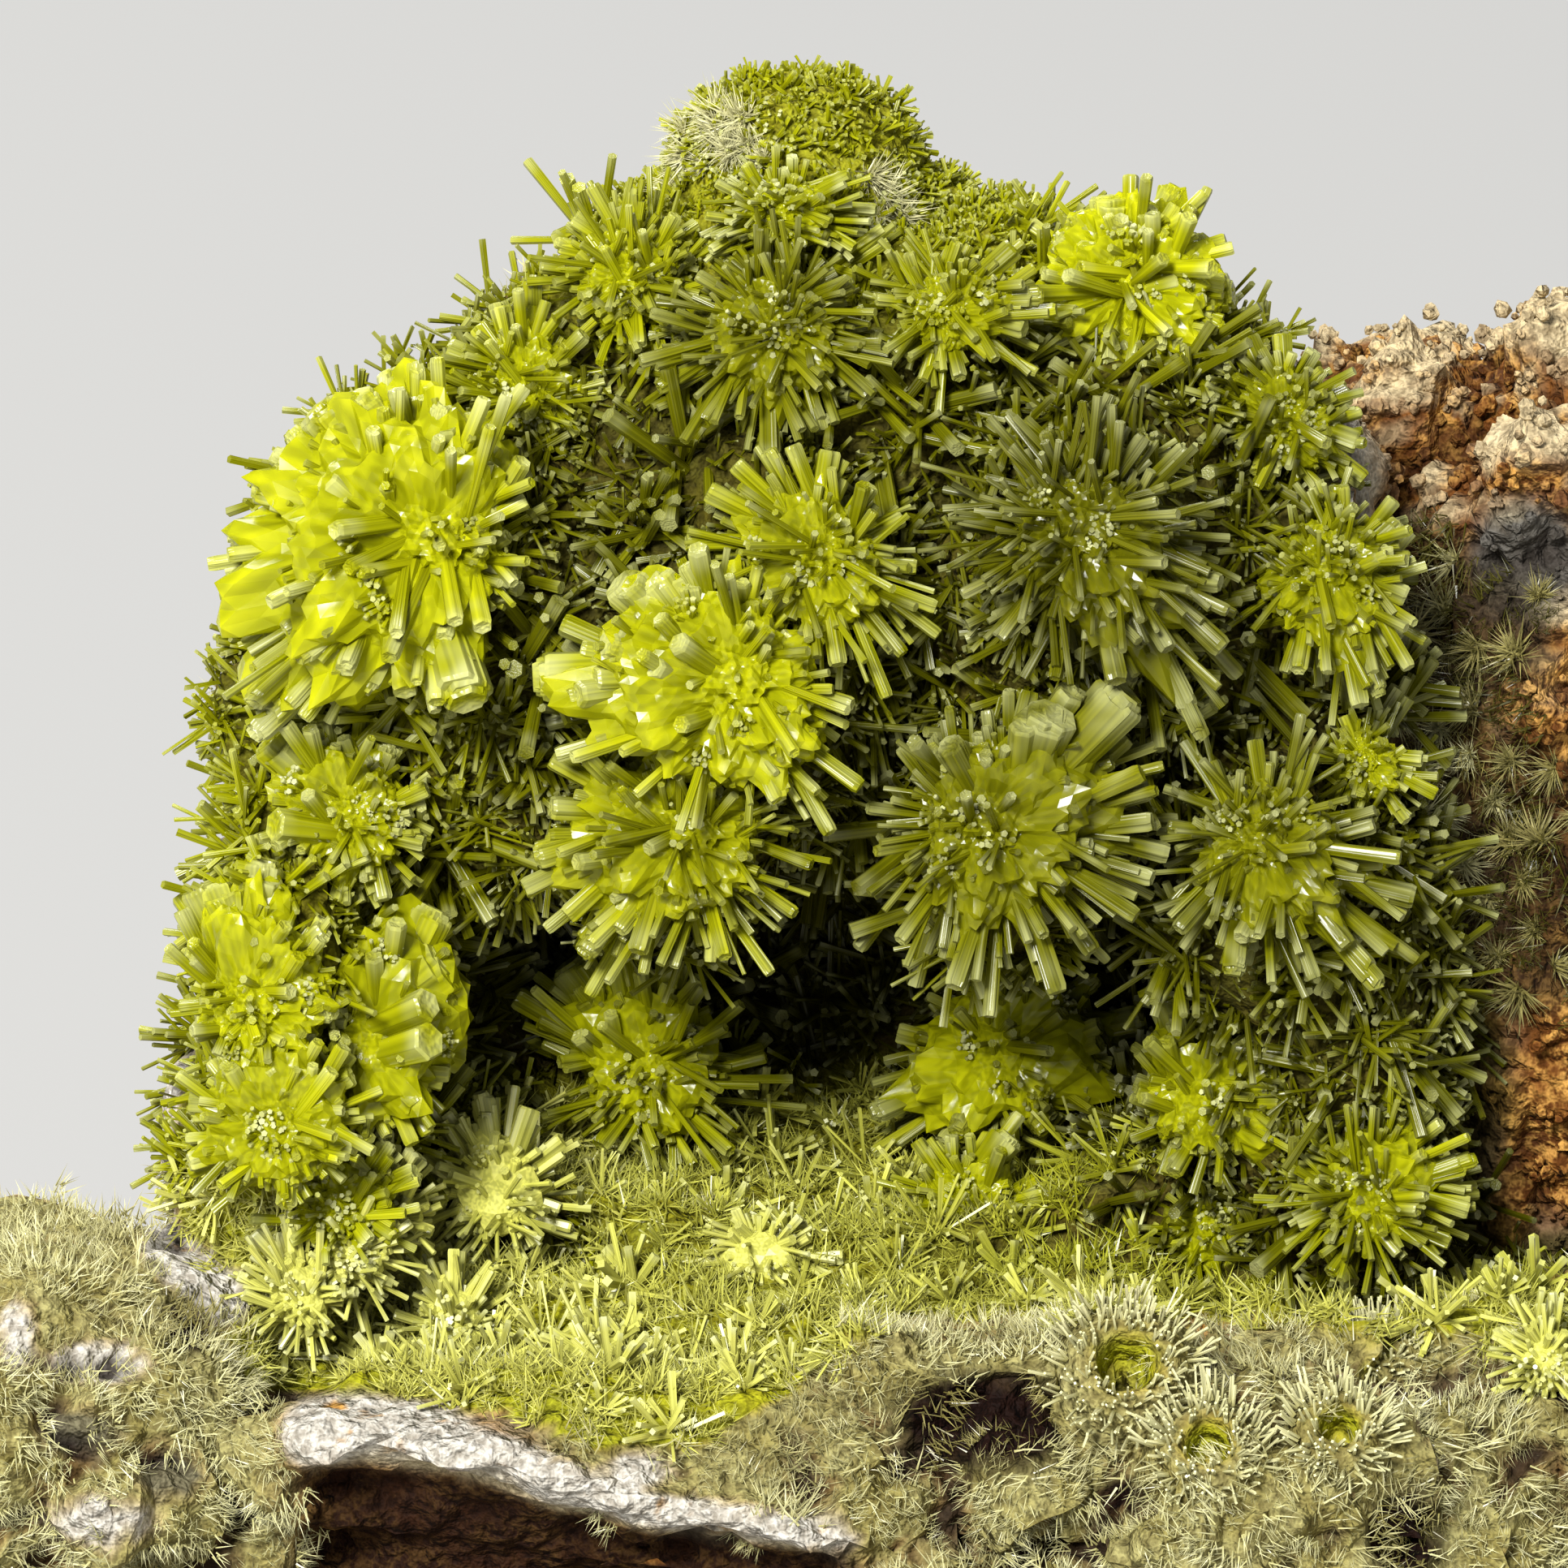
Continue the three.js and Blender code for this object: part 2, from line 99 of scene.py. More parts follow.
SPRAYS = [
    Spray(
        "spray_left_shoulder", (-13.1, 37.9), hub=3.4, stand=2.2,
        fill=150, width=1.1, front=0.5, bright=0.95, pale=0.55, fused=1.16,
        tips=[
            (-21.3, 37.1, 0, 0.6), (-20.6, 38.2, 4, 1.0), (-19.6, 39.9, 5, 1.3), (-18.9, 41.2, 8, 1.1),
            (-18.2, 42.1, 0, 1.2), (-17.2, 42.9, 10, 1.9), (-15.9, 43.3, 14, 1.9), (-14.7, 44.2, 5, 1.0),
            (-13.6, 44.6, 8, 1.1), (-12.6, 43.0, 25, 1.3), (-20.8, 36.0, 8, 1.2), (-20.3, 34.8, 6, 1.1),
            (-19.9, 33.2, 0, 0.8), (-19.7, 32.0, 10, 1.2), (-19.6, 30.8, 5, 1.3), (-17.9, 33.6, 30, 1.0),
            (-16.8, 32.6, 22, 0.9), (-15.6, 32.4, 18, 1.0), (-13.4, 32.8, 24, 0.9), (-11.7, 32.0, 30, 1.9),
            (-9.8, 36.9, 15, 0.9), (-11.2, 35.6, 35, 0.7),
        ],
    ),
    Spray(
        "spray_left_ridge_low", (-9.6, 43.4), hub=2.4, stand=1.0,
        fill=130, width=0.65, front=0.75, bright=0.8, pale=0.3,
        tips=[
            (-12.4, 45.1, 0, 0.8), (-11.3, 45.9, 0, 0.8), (-10.5, 46.6, 5, 0.8), (-9.3, 47.6, 4, 0.8),
            (-7.4, 45.6, 30, 0.7), (-10.6, 41.6, 35, 0.7), (-12.6, 43.6, 20, 0.7),
        ],
    ),
    Spray(
        "spray_left_ridge_high", (-5.6, 47.6), hub=2.4, stand=1.0,
        fill=140, width=0.6, front=0.75, bright=0.85, pale=0.3,
        tips=[
            (-9.0, 48.2, 0, 0.7), (-8.3, 48.9, 4, 0.7), (-7.8, 49.9, 5, 0.7), (-7.1, 51.1, 0, 0.6),
            (-5.6, 51.0, 10, 0.6), (-4.0, 50.0, 20, 0.6), (-5.4, 45.2, 35, 0.7),
        ],
    ),
    Spray(
        "spray_summit", (0.0, 50.1), hub=1.8, stand=1.4,
        fill=110, width=0.5, front=0.7, bright=0.8, pale=0.7,
        tips=[
            (-2.7, 48.7, 20, 0.4), (-2.9, 50.0, 15, 0.4), (-2.5, 51.2, 10, 0.4), (-1.4, 51.9, 10, 0.5),
            (0.3, 52.2, 15, 0.5), (2.5, 51.5, 15, 0.6), (3.4, 50.2, 10, 0.5), (2.6, 48.8, 20, 0.5),
            (0.2, 47.6, 30, 0.5),
        ],
    ),
    Spray(
        "spray_crown", (-0.2, 45.8), hub=2.6, stand=1.2,
        fill=170, width=0.55, front=0.7, bright=0.4, pale=0.2,
        tips=[
            (-5.3, 44.6, 15, 0.55), (-4.6, 43.6, 10, 0.6), (-4.9, 46.4, 15, 0.5), (-2.9, 42.4, 25, 0.6),
            (-0.5, 41.2, 20, 0.8), (1.4, 42.0, 20, 0.6), (3.2, 43.4, 20, 0.7), (3.6, 45.2, 20, 0.55),
            (-3.2, 47.8, 20, 0.5), (2.4, 47.6, 30, 0.5),
        ],
    ),
    Spray(
        "spray_crown_right", (6.0, 46.4), hub=1.9, stand=1.4,
        fill=90, width=0.6, front=0.65, bright=0.65, pale=0.25,
        tips=[
            (8.5, 48.8, 15, 0.9), (9.6, 47.0, 10, 1.0), (8.9, 45.8, 20, 0.8), (5.2, 43.9, 15, 0.6),
            (6.5, 44.0, 25, 0.6), (4.0, 45.0, 15, 0.6), (3.4, 46.9, 5, 0.5), (6.4, 49.0, 15, 0.5),
            (4.6, 48.6, 15, 0.5),
        ],
    ),
    Spray(
        "spray_right_horn", (12.8, 47.3), hub=3.0, stand=2.4,
        fill=120, width=1.15, front=0.55, bright=1.0, pale=0.5, fused=1.2,
        tips=[
            (8.6, 44.9, 15, 1.35), (9.6, 47.6, 15, 1.0), (10.0, 49.1, 15, 1.2), (10.7, 50.0, 10, 1.3),
            (12.0, 50.7, 6, 1.5), (13.2, 50.4, 12, 1.3), (14.5, 51.1, 0, 1.0), (15.7, 49.1, 8, 1.2),
            (16.6, 47.2, 5, 1.5), (16.2, 45.8, 20, 1.1), (15.6, 44.7, 25, 1.35), (12.9, 44.0, 25, 0.8),
            (12.0, 44.6, 35, 0.8), (10.3, 44.4, 20, 0.7), (14.4, 44.4, 15, 0.7),
        ],
    ),
    Spray(
        "spray_centre_top", (1.3, 37.3), hub=2.4, stand=2.0,
        fill=110, width=0.8, front=0.6, bright=0.7, pale=0.3,
        tips=[
            (-2.8, 39.8, 10, 0.9), (-3.6, 37.9, 10, 0.7), (-3.4, 36.4, 10, 0.6), (-1.8, 40.8, 8, 0.7),
            (-0.6, 41.3, 5, 0.7), (0.3, 41.5, 8, 0.7), (1.7, 41.3, 10, 0.9), (3.2, 40.0, 10, 0.7),
            (4.4, 38.8, 0, 0.6), (4.9, 37.0, 8, 0.6), (5.6, 35.5, 6, 0.6), (5.7, 34.5, 10, 0.5),
            (3.8, 32.2, 12, 0.5), (2.0, 33.4, 25, 0.7), (4.4, 33.8, 15, 0.5),
        ],
    ),
    Spray(
        "spray_centre_blades", (-1.9, 32.8), hub=2.4, stand=2.6,
        fill=100, width=1.1, front=0.6, bright=0.85, pale=0.45, fused=1.16,
        tips=[
            (-6.1, 36.5, 15, 2.0), (-4.9, 36.6, 20, 1.6), (-9.3, 32.9, 5, 1.5), (-8.0, 32.2, 15, 1.3),
            (-6.9, 30.5, 10, 0.9), (-4.1, 36.1, 5, 0.75), (-3.2, 37.2, 5, 0.7), (-1.8, 37.3, 12, 0.9),
            (-6.6, 34.2, 30, 1.6), (2.8, 28.9, 15, 0.65), (1.7, 27.2, 15, 0.6), (-0.2, 28.4, 25, 0.8),
            (2.5, 31.9, 20, 0.6), (1.4, 34.6, 15, 0.9),
        ],
    ),
    Spray(
        "spray_centre_low", (-3.5, 27.2), hub=2.6, stand=2.2,
        fill=120, width=1.0, front=0.6, bright=0.65, pale=0.3,
        tips=[
            (-8.6, 29.9, 5, 0.75), (-8.6, 28.1, 10, 0.9), (-7.2, 30.0, 15, 0.8), (-9.2, 26.3, 8, 1.3),
            (-9.6, 25.1, 5, 0.8), (-8.0, 24.1, 8, 0.85), (-7.4, 22.7, 15, 1.2), (-5.4, 22.8, 25, 0.8),
            (-0.5, 22.0, 12, 0.5), (-2.2, 22.6, 25, 0.6), (1.0, 26.0, 15, 0.5), (0.4, 24.2, 15, 0.5),
        ],
    ),
    Spray(
        "spray_right_blades", (7.5, 27.5), hub=2.6, stand=2.4,
        fill=130, width=0.85, front=0.6, bright=0.32, pale=0.35,
        tips=[
            (12.7, 32.4, 18, 1.8), (9.9, 31.6, 35, 1.8), (9.1, 32.4, 10, 0.8), (7.5, 31.7, 10, 0.5),
            (6.1, 30.5, 45, 1.3), (13.5, 28.8, 5, 0.9), (13.6, 27.6, 10, 0.8), (14.2, 26.4, 0, 0.8),
            (13.6, 25.5, 12, 0.7), (13.0, 24.1, 15, 0.7), (11.4, 22.8, 10, 0.7), (10.1, 21.3, 15, 0.85),
            (9.6, 23.4, 30, 0.5), (7.6, 20.4, 10, 0.55), (6.3, 21.5, 20, 0.8), (4.3, 23.2, 20, 0.6),
            (3.4, 26.5, 20, 0.5), (3.1, 28.1, 15, 0.5), (4.3, 30.3, 15, 0.5),
        ],
    ),
    Spray(
        "spray_right_dome", (10.9, 38.2), hub=3.2, stand=2.0,
        fill=200, width=0.6, front=0.75, bright=0.18, pale=0.3,
        tips=[
            (8.1, 41.8, 5, 0.6), (9.7, 42.0, 10, 0.6), (11.6, 42.0, 12, 0.6), (13.3, 41.8, 10, 0.65),
            (14.8, 41.4, 8, 0.6), (10.0, 32.9, 15, 0.5), (12.3, 32.8, 20, 0.9), (14.2, 34.0, 25, 0.7),
            (16.2, 34.0, 10, 0.85), (16.1, 36.4, 15, 0.8), (15.5, 30.6, 0, 1.0), (6.4, 38.8, 15, 0.5),
            (6.6, 36.0, 20, 0.5), (8.0, 34.4, 20, 0.5),
        ],
    ),
    Spray(
        "spray_right_rim_high", (18.6, 42.4), hub=2.2, stand=1.2,
        fill=120, width=0.65, front=0.75, bright=0.5, pale=0.45,
        tips=[
            (17.2, 45.5, 0, 0.8), (18.4, 45.6, 5, 0.8), (19.6, 45.0, 5, 0.7), (20.9, 43.4, 0, 0.8),
            (21.2, 41.6, 10, 0.9), (21.4, 40.2, 5, 0.8), (17.6, 40.0, 25, 0.7),
        ],
    ),
    Spray(
        "spray_right_rim", (20.0, 36.9), hub=2.6, stand=1.8,
        fill=130, width=0.65, front=0.7, bright=0.55, pale=0.4,
        tips=[
            (22.8, 38.6, 10, 1.1), (23.1, 37.2, 5, 0.8), (23.0, 35.9, 10, 0.9), (22.2, 34.0, 12, 0.8),
            (22.0, 32.2, 15, 1.0), (21.3, 31.9, 20, 0.8), (19.0, 33.2, 25, 0.7), (20.6, 40.0, 15, 0.7),
        ],
    ),
    Spray(
        "spray_right_tuft", (21.4, 29.8), hub=1.3, stand=1.2,
        fill=50, width=0.45, front=0.7, bright=0.65, pale=0.4,
        tips=[
            (20.7, 31.5, 10, 0.5), (22.0, 31.8, 10, 0.4), (24.1, 28.6, 10, 0.6), (23.6, 29.9, 10, 0.6),
            (23.0, 27.6, 15, 0.5),
        ],
    ),
    Spray(
        "spray_right_low", (17.6, 26.8), hub=2.6, stand=1.8,
        fill=120, width=0.8, front=0.6, bright=0.34, pale=0.35,
        tips=[
            (23.3, 24.8, 0, 0.9), (22.1, 26.2, 8, 0.8), (21.8, 27.5, 5, 0.7), (22.0, 21.5, 10, 1.0),
            (20.8, 23.0, 20, 0.8), (19.6, 21.8, 15, 0.6), (16.6, 21.9, 15, 1.1), (14.6, 23.6, 15, 0.7),
            (15.8, 29.8, 5, 0.65), (17.4, 30.6, 5, 0.7), (19.2, 30.4, 5, 0.6), (14.2, 27.4, 20, 0.6),
        ],
    ),
    Spray(
        "spray_left_rim", (-16.0, 27.7), hub=2.3, stand=1.8,
        fill=110, width=0.9, front=0.7, bright=0.75, pale=0.45, fused=1.1,
        tips=[
            (-19.1, 30.6, 10, 1.7), (-17.2, 31.4, 10, 1.1), (-14.6, 30.5, 15, 1.0), (-13.2, 28.8, 15, 0.7),
            (-13.3, 26.8, 20, 0.7), (-14.8, 24.7, 20, 0.7), (-16.6, 24.6, 25, 0.8), (-18.6, 26.0, 15, 0.9),
        ],
    ),
    Spray(
        "spray_left_wall", (-19.6, 20.8), hub=2.2, stand=1.2,
        fill=100, width=0.95, front=0.65, bright=0.9, pale=0.45, fused=1.2, rise=1.0,
        tips=[
            (-21.1, 25.2, 0, 1.5), (-19.2, 26.2, 6, 1.5), (-18.2, 24.6, 10, 0.8), (-17.0, 23.6, 15, 0.9),
            (-19.0, 17.8, 25, 0.9), (-21.6, 21.8, 5, 0.9), (-21.8, 19.8, 8, 0.8), (-16.6, 20.6, 30, 1.0),
        ],
    ),
]

# Sprays inside the hollow and on its floor, in one piece with the crystals that line it
HOLLOW_SPRAYS = [
    Spray(
        "left_blades", (-15.6, 19.3), hub=2.0, stand=0.8,
        fill=60, width=0.85, front=0.6, bright=0.75, pale=0.4, fused=1.25, rise=1.0,
        tips=[
            (-12.5, 22.3, 18, 2.1), (-12.9, 24.4, 5, 1.5), (-14.2, 24.4, 8, 1.2), (-17.0, 23.0, 5, 1.2),
            (-18.2, 20.6, 10, 1.0), (-13.6, 17.0, 40, 0.9),
        ],
    ),
    Spray(
        "wall_foot", (-18.6, 16.4), hub=2.0, stand=1.4,
        fill=90, width=0.8, front=0.7, bright=0.95, pale=0.45, fused=1.18, rise=1.5,
        tips=[
            (-20.8, 19.2, 5, 1.2), (-19.4, 20.0, 8, 1.0), (-17.6, 19.8, 10, 1.1), (-16.0, 18.2, 12, 0.9),
            (-22.0, 17.2, 5, 0.9), (-22.0, 15.0, 8, 0.8), (-15.8, 15.6, 20, 0.9), (-18.4, 13.4, 25, 0.8),
        ],
    ),
    Spray(
        "wall_toe", (-16.6, 13.2), hub=1.6, stand=1.0,
        fill=80, width=0.6, front=0.8, bright=1.0, pale=0.5, fused=1.0, rise=1.5,
        tips=[
            (-14.6, 15.8, 5, 1.0), (-16.4, 16.2, 5, 0.8), (-13.6, 14.6, 10, 0.9), (-18.6, 14.8, 8, 0.8),
            (-14.4, 12.2, 20, 0.7),
        ],
    ),
    Spray(
        "middle_fan", (-5.1, 18.4), hub=2.4, stand=3.4,
        fill=120, width=0.95, front=0.65, bright=0.65, pale=0.25,
        tips=[
            (-9.9, 21.1, 8, 0.9), (-8.3, 18.7, 20, 0.6), (-8.0, 22.4, 5, 1.5), (-6.2, 22.8, 8, 1.2),
            (-4.2, 22.6, 10, 1.1), (-6.8, 15.6, 30, 0.8), (-2.0, 15.4, 25, 0.6), (-9.0, 16.6, 20, 0.5),
        ],
    ),
    Spray(
        "right_fan", (8.0, 19.0), hub=2.2, stand=3.4,
        fill=100, width=0.95, front=0.65, bright=0.45, pale=0.25, fused=1.12,
        tips=[
            (13.4, 20.3, 5, 1.3), (11.6, 21.8, 8, 1.1), (3.2, 16.8, 10, 1.0), (4.2, 19.8, 5, 0.9),
            (6.4, 16.0, 35, 1.1), (9.6, 16.2, 30, 1.0), (12.6, 17.6, 20, 1.1), (7.0, 22.4, 5, 1.0),
        ],
    ),
    Spray(
        "right_crown", (15.6, 17.2), hub=2.2, stand=1.8,
        fill=90, width=0.9, front=0.7, bright=0.6, pale=0.3, fused=1.12,
        tips=[
            (14.2, 21.2, 5, 1.5), (16.4, 20.6, 10, 1.0), (17.8, 20.8, 6, 1.0), (19.2, 20.3, 5, 1.3),
            (20.5, 17.9, 10, 1.0), (13.0, 17.6, 15, 0.9), (14.4, 14.6, 25, 0.7),
        ],
    ),
    Spray(
        "right_sunburst", (21.6, 13.8), hub=2.3, stand=1.0,
        fill=190, width=0.6, front=0.75, bright=0.65, pale=0.35,
        tips=[
            (21.3, 18.4, 5, 0.6), (22.6, 18.2, 6, 0.6), (23.8, 17.1, 8, 0.8), (25.6, 15.1, 10, 1.0),
            (25.3, 13.2, 12, 0.7), (24.6, 12.0, 15, 0.6), (19.0, 12.7, 15, 0.6), (20.2, 10.9, 20, 0.6),
            (19.4, 16.4, 8, 0.6), (18.6, 14.6, 10, 0.6),
        ],
    ),
    Spray(
        "floor_blade", (6.6, 13.4), hub=1.7, stand=0.4,
        fill=70, width=0.5, front=0.8, bright=0.75, pale=0.4,
        tips=[
            (8.4, 16.0, 10, 1.35), (4.9, 15.8, 5, 0.6), (6.2, 16.0, 5, 0.6), (9.6, 13.8, 20, 0.6),
        ],
    ),
    Spray(
        "floor_right", (15.7, 12.6), hub=1.6, stand=0.5,
        fill=100, width=0.4, front=0.8, bright=0.6, pale=0.4,
        tips=[
            (18.7, 12.2, 15, 0.4), (17.8, 10.6, 20, 0.4), (14.4, 9.8, 25, 0.4), (12.8, 12.2, 10, 0.4),
        ],
    ),
]

# Paler sprays at the front of the floor and on the right foot's shelf
FLOOR_SPRAYS = [
    Spray(
        "floor_corner", (-17.8, 9.8), hub=1.5, stand=1.4,
        fill=100, width=0.42, front=0.8, bright=0.95, pale=0.8, fused=0.9, rise=1.5,
        tips=[
            (-19.6, 12.4, 5, 0.55), (-18.2, 13.2, 8, 0.6), (-16.6, 12.6, 10, 0.5), (-20.2, 10.8, 10, 0.45),
            (-15.8, 10.2, 20, 0.45), (-17.4, 7.8, 25, 0.4),
        ],
    ),
    Spray(
        "floor_back", (-10.6, 13.6), hub=1.6, stand=1.4,
        fill=80, width=0.65, front=0.8, bright=0.7, pale=0.5, fused=0.9, rise=1.2,
        tips=[
            (-12.6, 16.8, 5, 0.9), (-11.2, 17.6, 5, 1.1), (-9.4, 17.0, 8, 0.9), (-8.2, 15.8, 10, 0.7),
            (-13.4, 15.2, 10, 0.7),
        ],
    ),
    Spray(
        "floor_notch", (-14.9, 13.0), hub=1.4, stand=2.0,
        fill=80, width=0.55, front=0.8, bright=0.85, pale=0.6, fused=0.9, rise=1.2,
        tips=[
            (-16.2, 15.4, 5, 0.7), (-14.8, 16.2, 8, 0.8), (-13.4, 15.2, 10, 0.7), (-16.8, 13.2, 15, 0.6),
            (-13.0, 12.4, 20, 0.5),
        ],
    ),
    Spray(
        "floor_nook", (-16.0, 11.4), hub=1.5, stand=2.2,
        fill=90, width=0.42, front=0.8, bright=1.0, pale=0.8, fused=0.9, rise=1.5,
        tips=[
            (-18.0, 12.8, 8, 0.5), (-16.8, 14.0, 5, 0.6), (-15.2, 14.2, 8, 0.55), (-13.8, 12.8, 10, 0.45),
            (-17.6, 10.4, 20, 0.4),
        ],
    ),
    Spray(
        "floor_step", (-12.2, 9.0), hub=1.4, stand=0.8,
        fill=80, width=0.4, front=0.8, bright=0.95, pale=0.8, fused=0.9, rise=1.5,
        tips=[
            (-13.6, 11.2, 5, 0.45), (-12.2, 11.8, 8, 0.5), (-10.8, 11.0, 10, 0.45), (-14.4, 9.4, 10, 0.4),
            (-10.2, 8.4, 20, 0.4),
        ],
    ),
    Spray(
        "floor_left", (-14.0, 11.2), hub=1.5, stand=1.2,
        fill=80, width=0.45, front=0.8, bright=1.0, pale=0.8, fused=0.9, rise=1.0,
        tips=[
            (-15.2, 13.5, 10, 0.5), (-14.1, 13.8, 15, 0.6), (-12.6, 13.6, 10, 0.5), (-17.7, 13.3, 10, 0.65),
            (-16.4, 13.6, 5, 0.4),
        ],
    ),
    Spray(
        "floor_middle", (-0.9, 11.6), hub=1.3, stand=0.5,
        fill=70, width=0.45, front=0.9, bright=1.0, pale=0.9,
        tips=[
            (2.2, 11.5, 10, 0.6), (-3.8, 11.2, 5, 0.4), (-1.8, 13.3, 5, 0.45), (1.6, 10.8, 20, 0.4),
            (0.6, 13.0, 10, 0.4),
        ],
    ),
    Spray(
        "floor_front", (-6.8, 7.6), hub=1.3, stand=0.4,
        fill=90, width=0.35, front=0.9, bright=0.9, pale=0.8,
        tips=[
            (-9.0, 8.6, 10, 0.35), (-4.8, 8.4, 10, 0.35), (-6.6, 5.2, 20, 0.3), (-8.4, 6.0, 15, 0.3),
        ],
    ),
    Spray(
        "shelf_pale", (20.2, 8.8), hub=1.0, stand=0.4,
        fill=70, width=0.3, front=0.9, bright=0.9, pale=0.95,
        tips=[
            (18.0, 9.6, 10, 0.35), (20.8, 10.5, 5, 0.35), (18.7, 8.2, 15, 0.3), (22.4, 9.4, 10, 0.35),
        ],
    ),
    Spray(
        "shelf_far_right", (28.2, 7.6), hub=1.2, stand=0.5,
        fill=80, width=0.3, front=0.9, bright=0.9, pale=0.9,
        tips=[
            (26.2, 8.6, 10, 0.35), (28.4, 10.2, 5, 0.35), (26.4, 6.6, 15, 0.35), (30.4, 8.6, 5, 0.35),
        ],
    ),
]

# Outline of the crystals on the face, as places on it, from the floor's left end clockwise
CRYSTAL_OUTLINE = [
    (-22.3, 12.0), (-22.4, 18.0), (-24.0, 22.0), (-24.0, 30.0), (-22.5, 36.0), (-17.0, 42.5),
    (-12.0, 45.5), (-8.0, 49.0), (-5.2, 51.0), (-1.0, 51.5), (3.6, 51.0), (6.5, 50.0),
    (10.0, 49.5), (14.5, 50.5), (17.5, 46.5), (20.8, 43.0), (22.4, 38.0), (22.4, 31.0), (24.0, 25.0),
    (27.0, 19.0), (27.4, 12.6), (33.0, 11.5), (33.0, 8.4), (17.0, 9.0), (9.0, 9.2), (3.4, 9.2),
    (0.5, 6.6),
    (-3.0, 4.6), (-7.0, 4.4), (-10.0, 5.6), (-13.0, 6.2), (-17.4, 6.5), (-19.6, 6.6), (-20.6, 8.4),
]
FLOOR_TOP = 15.5  # highest floor, in millimetres over the base
# Height on the face under which all crystals are the floor's, for places across
FLOOR_ACROSS = (-14, -9, 18, 24)
FLOOR_UP = (14.5, 9.2, 9.2, 11.5)

# Broken white quartz along edges, as (half width, places of its middle line)
WHITE_EDGES = [
    (1.45, [(-17.4, 5.0), (-15.5, 5.2), (-12.8, 4.8)]),
    (1.1, [(-12.8, 4.7), (-10.4, 3.9), (-8.0, 3.0)]),
    (0.8, [(-8.0, 3.0), (-5.0, 2.1), (-1.1, 1.6), (1.9, 1.2)]),
    (0.7, [(-20.9, 22.6), (-22.5, 19.0), (-23.4, 15.4), (-23.0, 12.1)]),
    (1.1, [(-22.8, 11.8), (-20.6, 9.9)]),
    (0.75, [(18.9, 44.6), (20.4, 43.2), (21.3, 40.6), (20.9, 38.2)]),
]
# Height on the face of the front lip's middle line, for places across
LIP_ACROSS = (-17.6, -15.5, -12.8, -10.4, -8.0, -5.0, -1.1, 1.9)
LIP_UP = (5.0, 5.3, 4.9, 4.3, 3.2, 2.0, 1.6, 1.2)
# Patches on the face as (across, up, half width, half height)
WHITE_PATCHES = [
    (-25.3, 7.6, 2.0, 0.9), (-25.2, 1.8, 2.2, 1.0), (-28.4, 8.6, 0.8, 1.4), (-5.4, 3.6, 1.3, 0.8),
]
SMOKE_PATCHES = [(27.4, 37.2, 2.4, 2.6), (-26.0, 5.0, 1.8, 1.0), (-22.6, 3.4, 1.5, 0.9)]
RUST_PATCHES = [(-25.0, 15.0, 1.8, 1.0), (28.0, 0.6, 4.5, 1.3)]
SUMMIT_SIDE = [(6.4, 48.8, 3.2, 2.4)]
PALE_SUMMIT = [(-3.0, 52.6, 3.4, 1.5), (3.6, 50.0, 1.2, 1.6)]
# A spot clear of small sprays, which would stick out past the outline of the top
CLEAR_SPOTS = [(-8.0, 48.8, 0.9, 0.9)]
WALL_TUFTS = [
    (23.4, 36.8, 2.2, 2.2), (25.6, 34.4, 3.0, 2.8), (23.8, 32.0, 2.6, 3.0), (26.3, 28.6, 3.2, 2.6),
    (27.2, 25.3, 3.0, 2.6), (24.4, 25.4, 2.2, 3.0), (23.4, 29.2, 2.2, 2.6), (28.2, 22.0, 1.6, 1.4),
    (25.6, 21.6, 1.8, 1.8),
]
# Dark cavities as (across, up, half width, half height, depth)
CAVITIES = [
    (7.4, 5.4, 3.9, 2.1, 1.6), (23.0, 1.2, 1.6, 2.0, 3.0), (-22.0, 9.0, 1.2, 1.3, 1.6),
    (12.6, 2.6, 1.3, 0.7, 1.2),
]
# Little craters lined with yellow, as (across, up, radius)
CRATERS = [(12.6, 7.2, 1.9), (20.5, 4.8, 1.3), (15.7, 4.3, 1.5), (22.0, 7.4, 1.0)]
# A crater's wall from its foot outside to the middle of its bowl, as (out, up, how far it is
# lined), in shares of its radius
CRATER_SECTION = (
    (1.75, -1.2, 0), (1.35, -0.35, 0), (1.05, 0.2, 0), (0.82, 0.42, 0.1), (0.62, 0.34, 0.5),
    (0.5, 0.0, 1), (0.42, -0.45, 1), (0.26, -0.8, 0.8), (0.0, -0.95, 0.7),
)
CRATER_STEPS = 26  # points round the wall
CRATER_NEEDLES = 150  # in the collar, for each millimetre of the radius

STUDIO_COLOUR = "#e6e9ee"
STUDIO_STRENGTH = 0.26
PAPER_COLOUR = "#b3b2af"
PAPER_HALF = 1.5  # half the side of the paper under the specimen, in metres
# Soft round lights as (name, place, what it shines at, diameter, watts), in metres
LIGHTS = (
    ("key", (-0.4, -1.12, 0.8), (0, 0, 0.03), 0.4, 31),
    ("rim", (-0.3, 0.65, 1.0), (0, 0, 0.04), 0.4, 11),
)


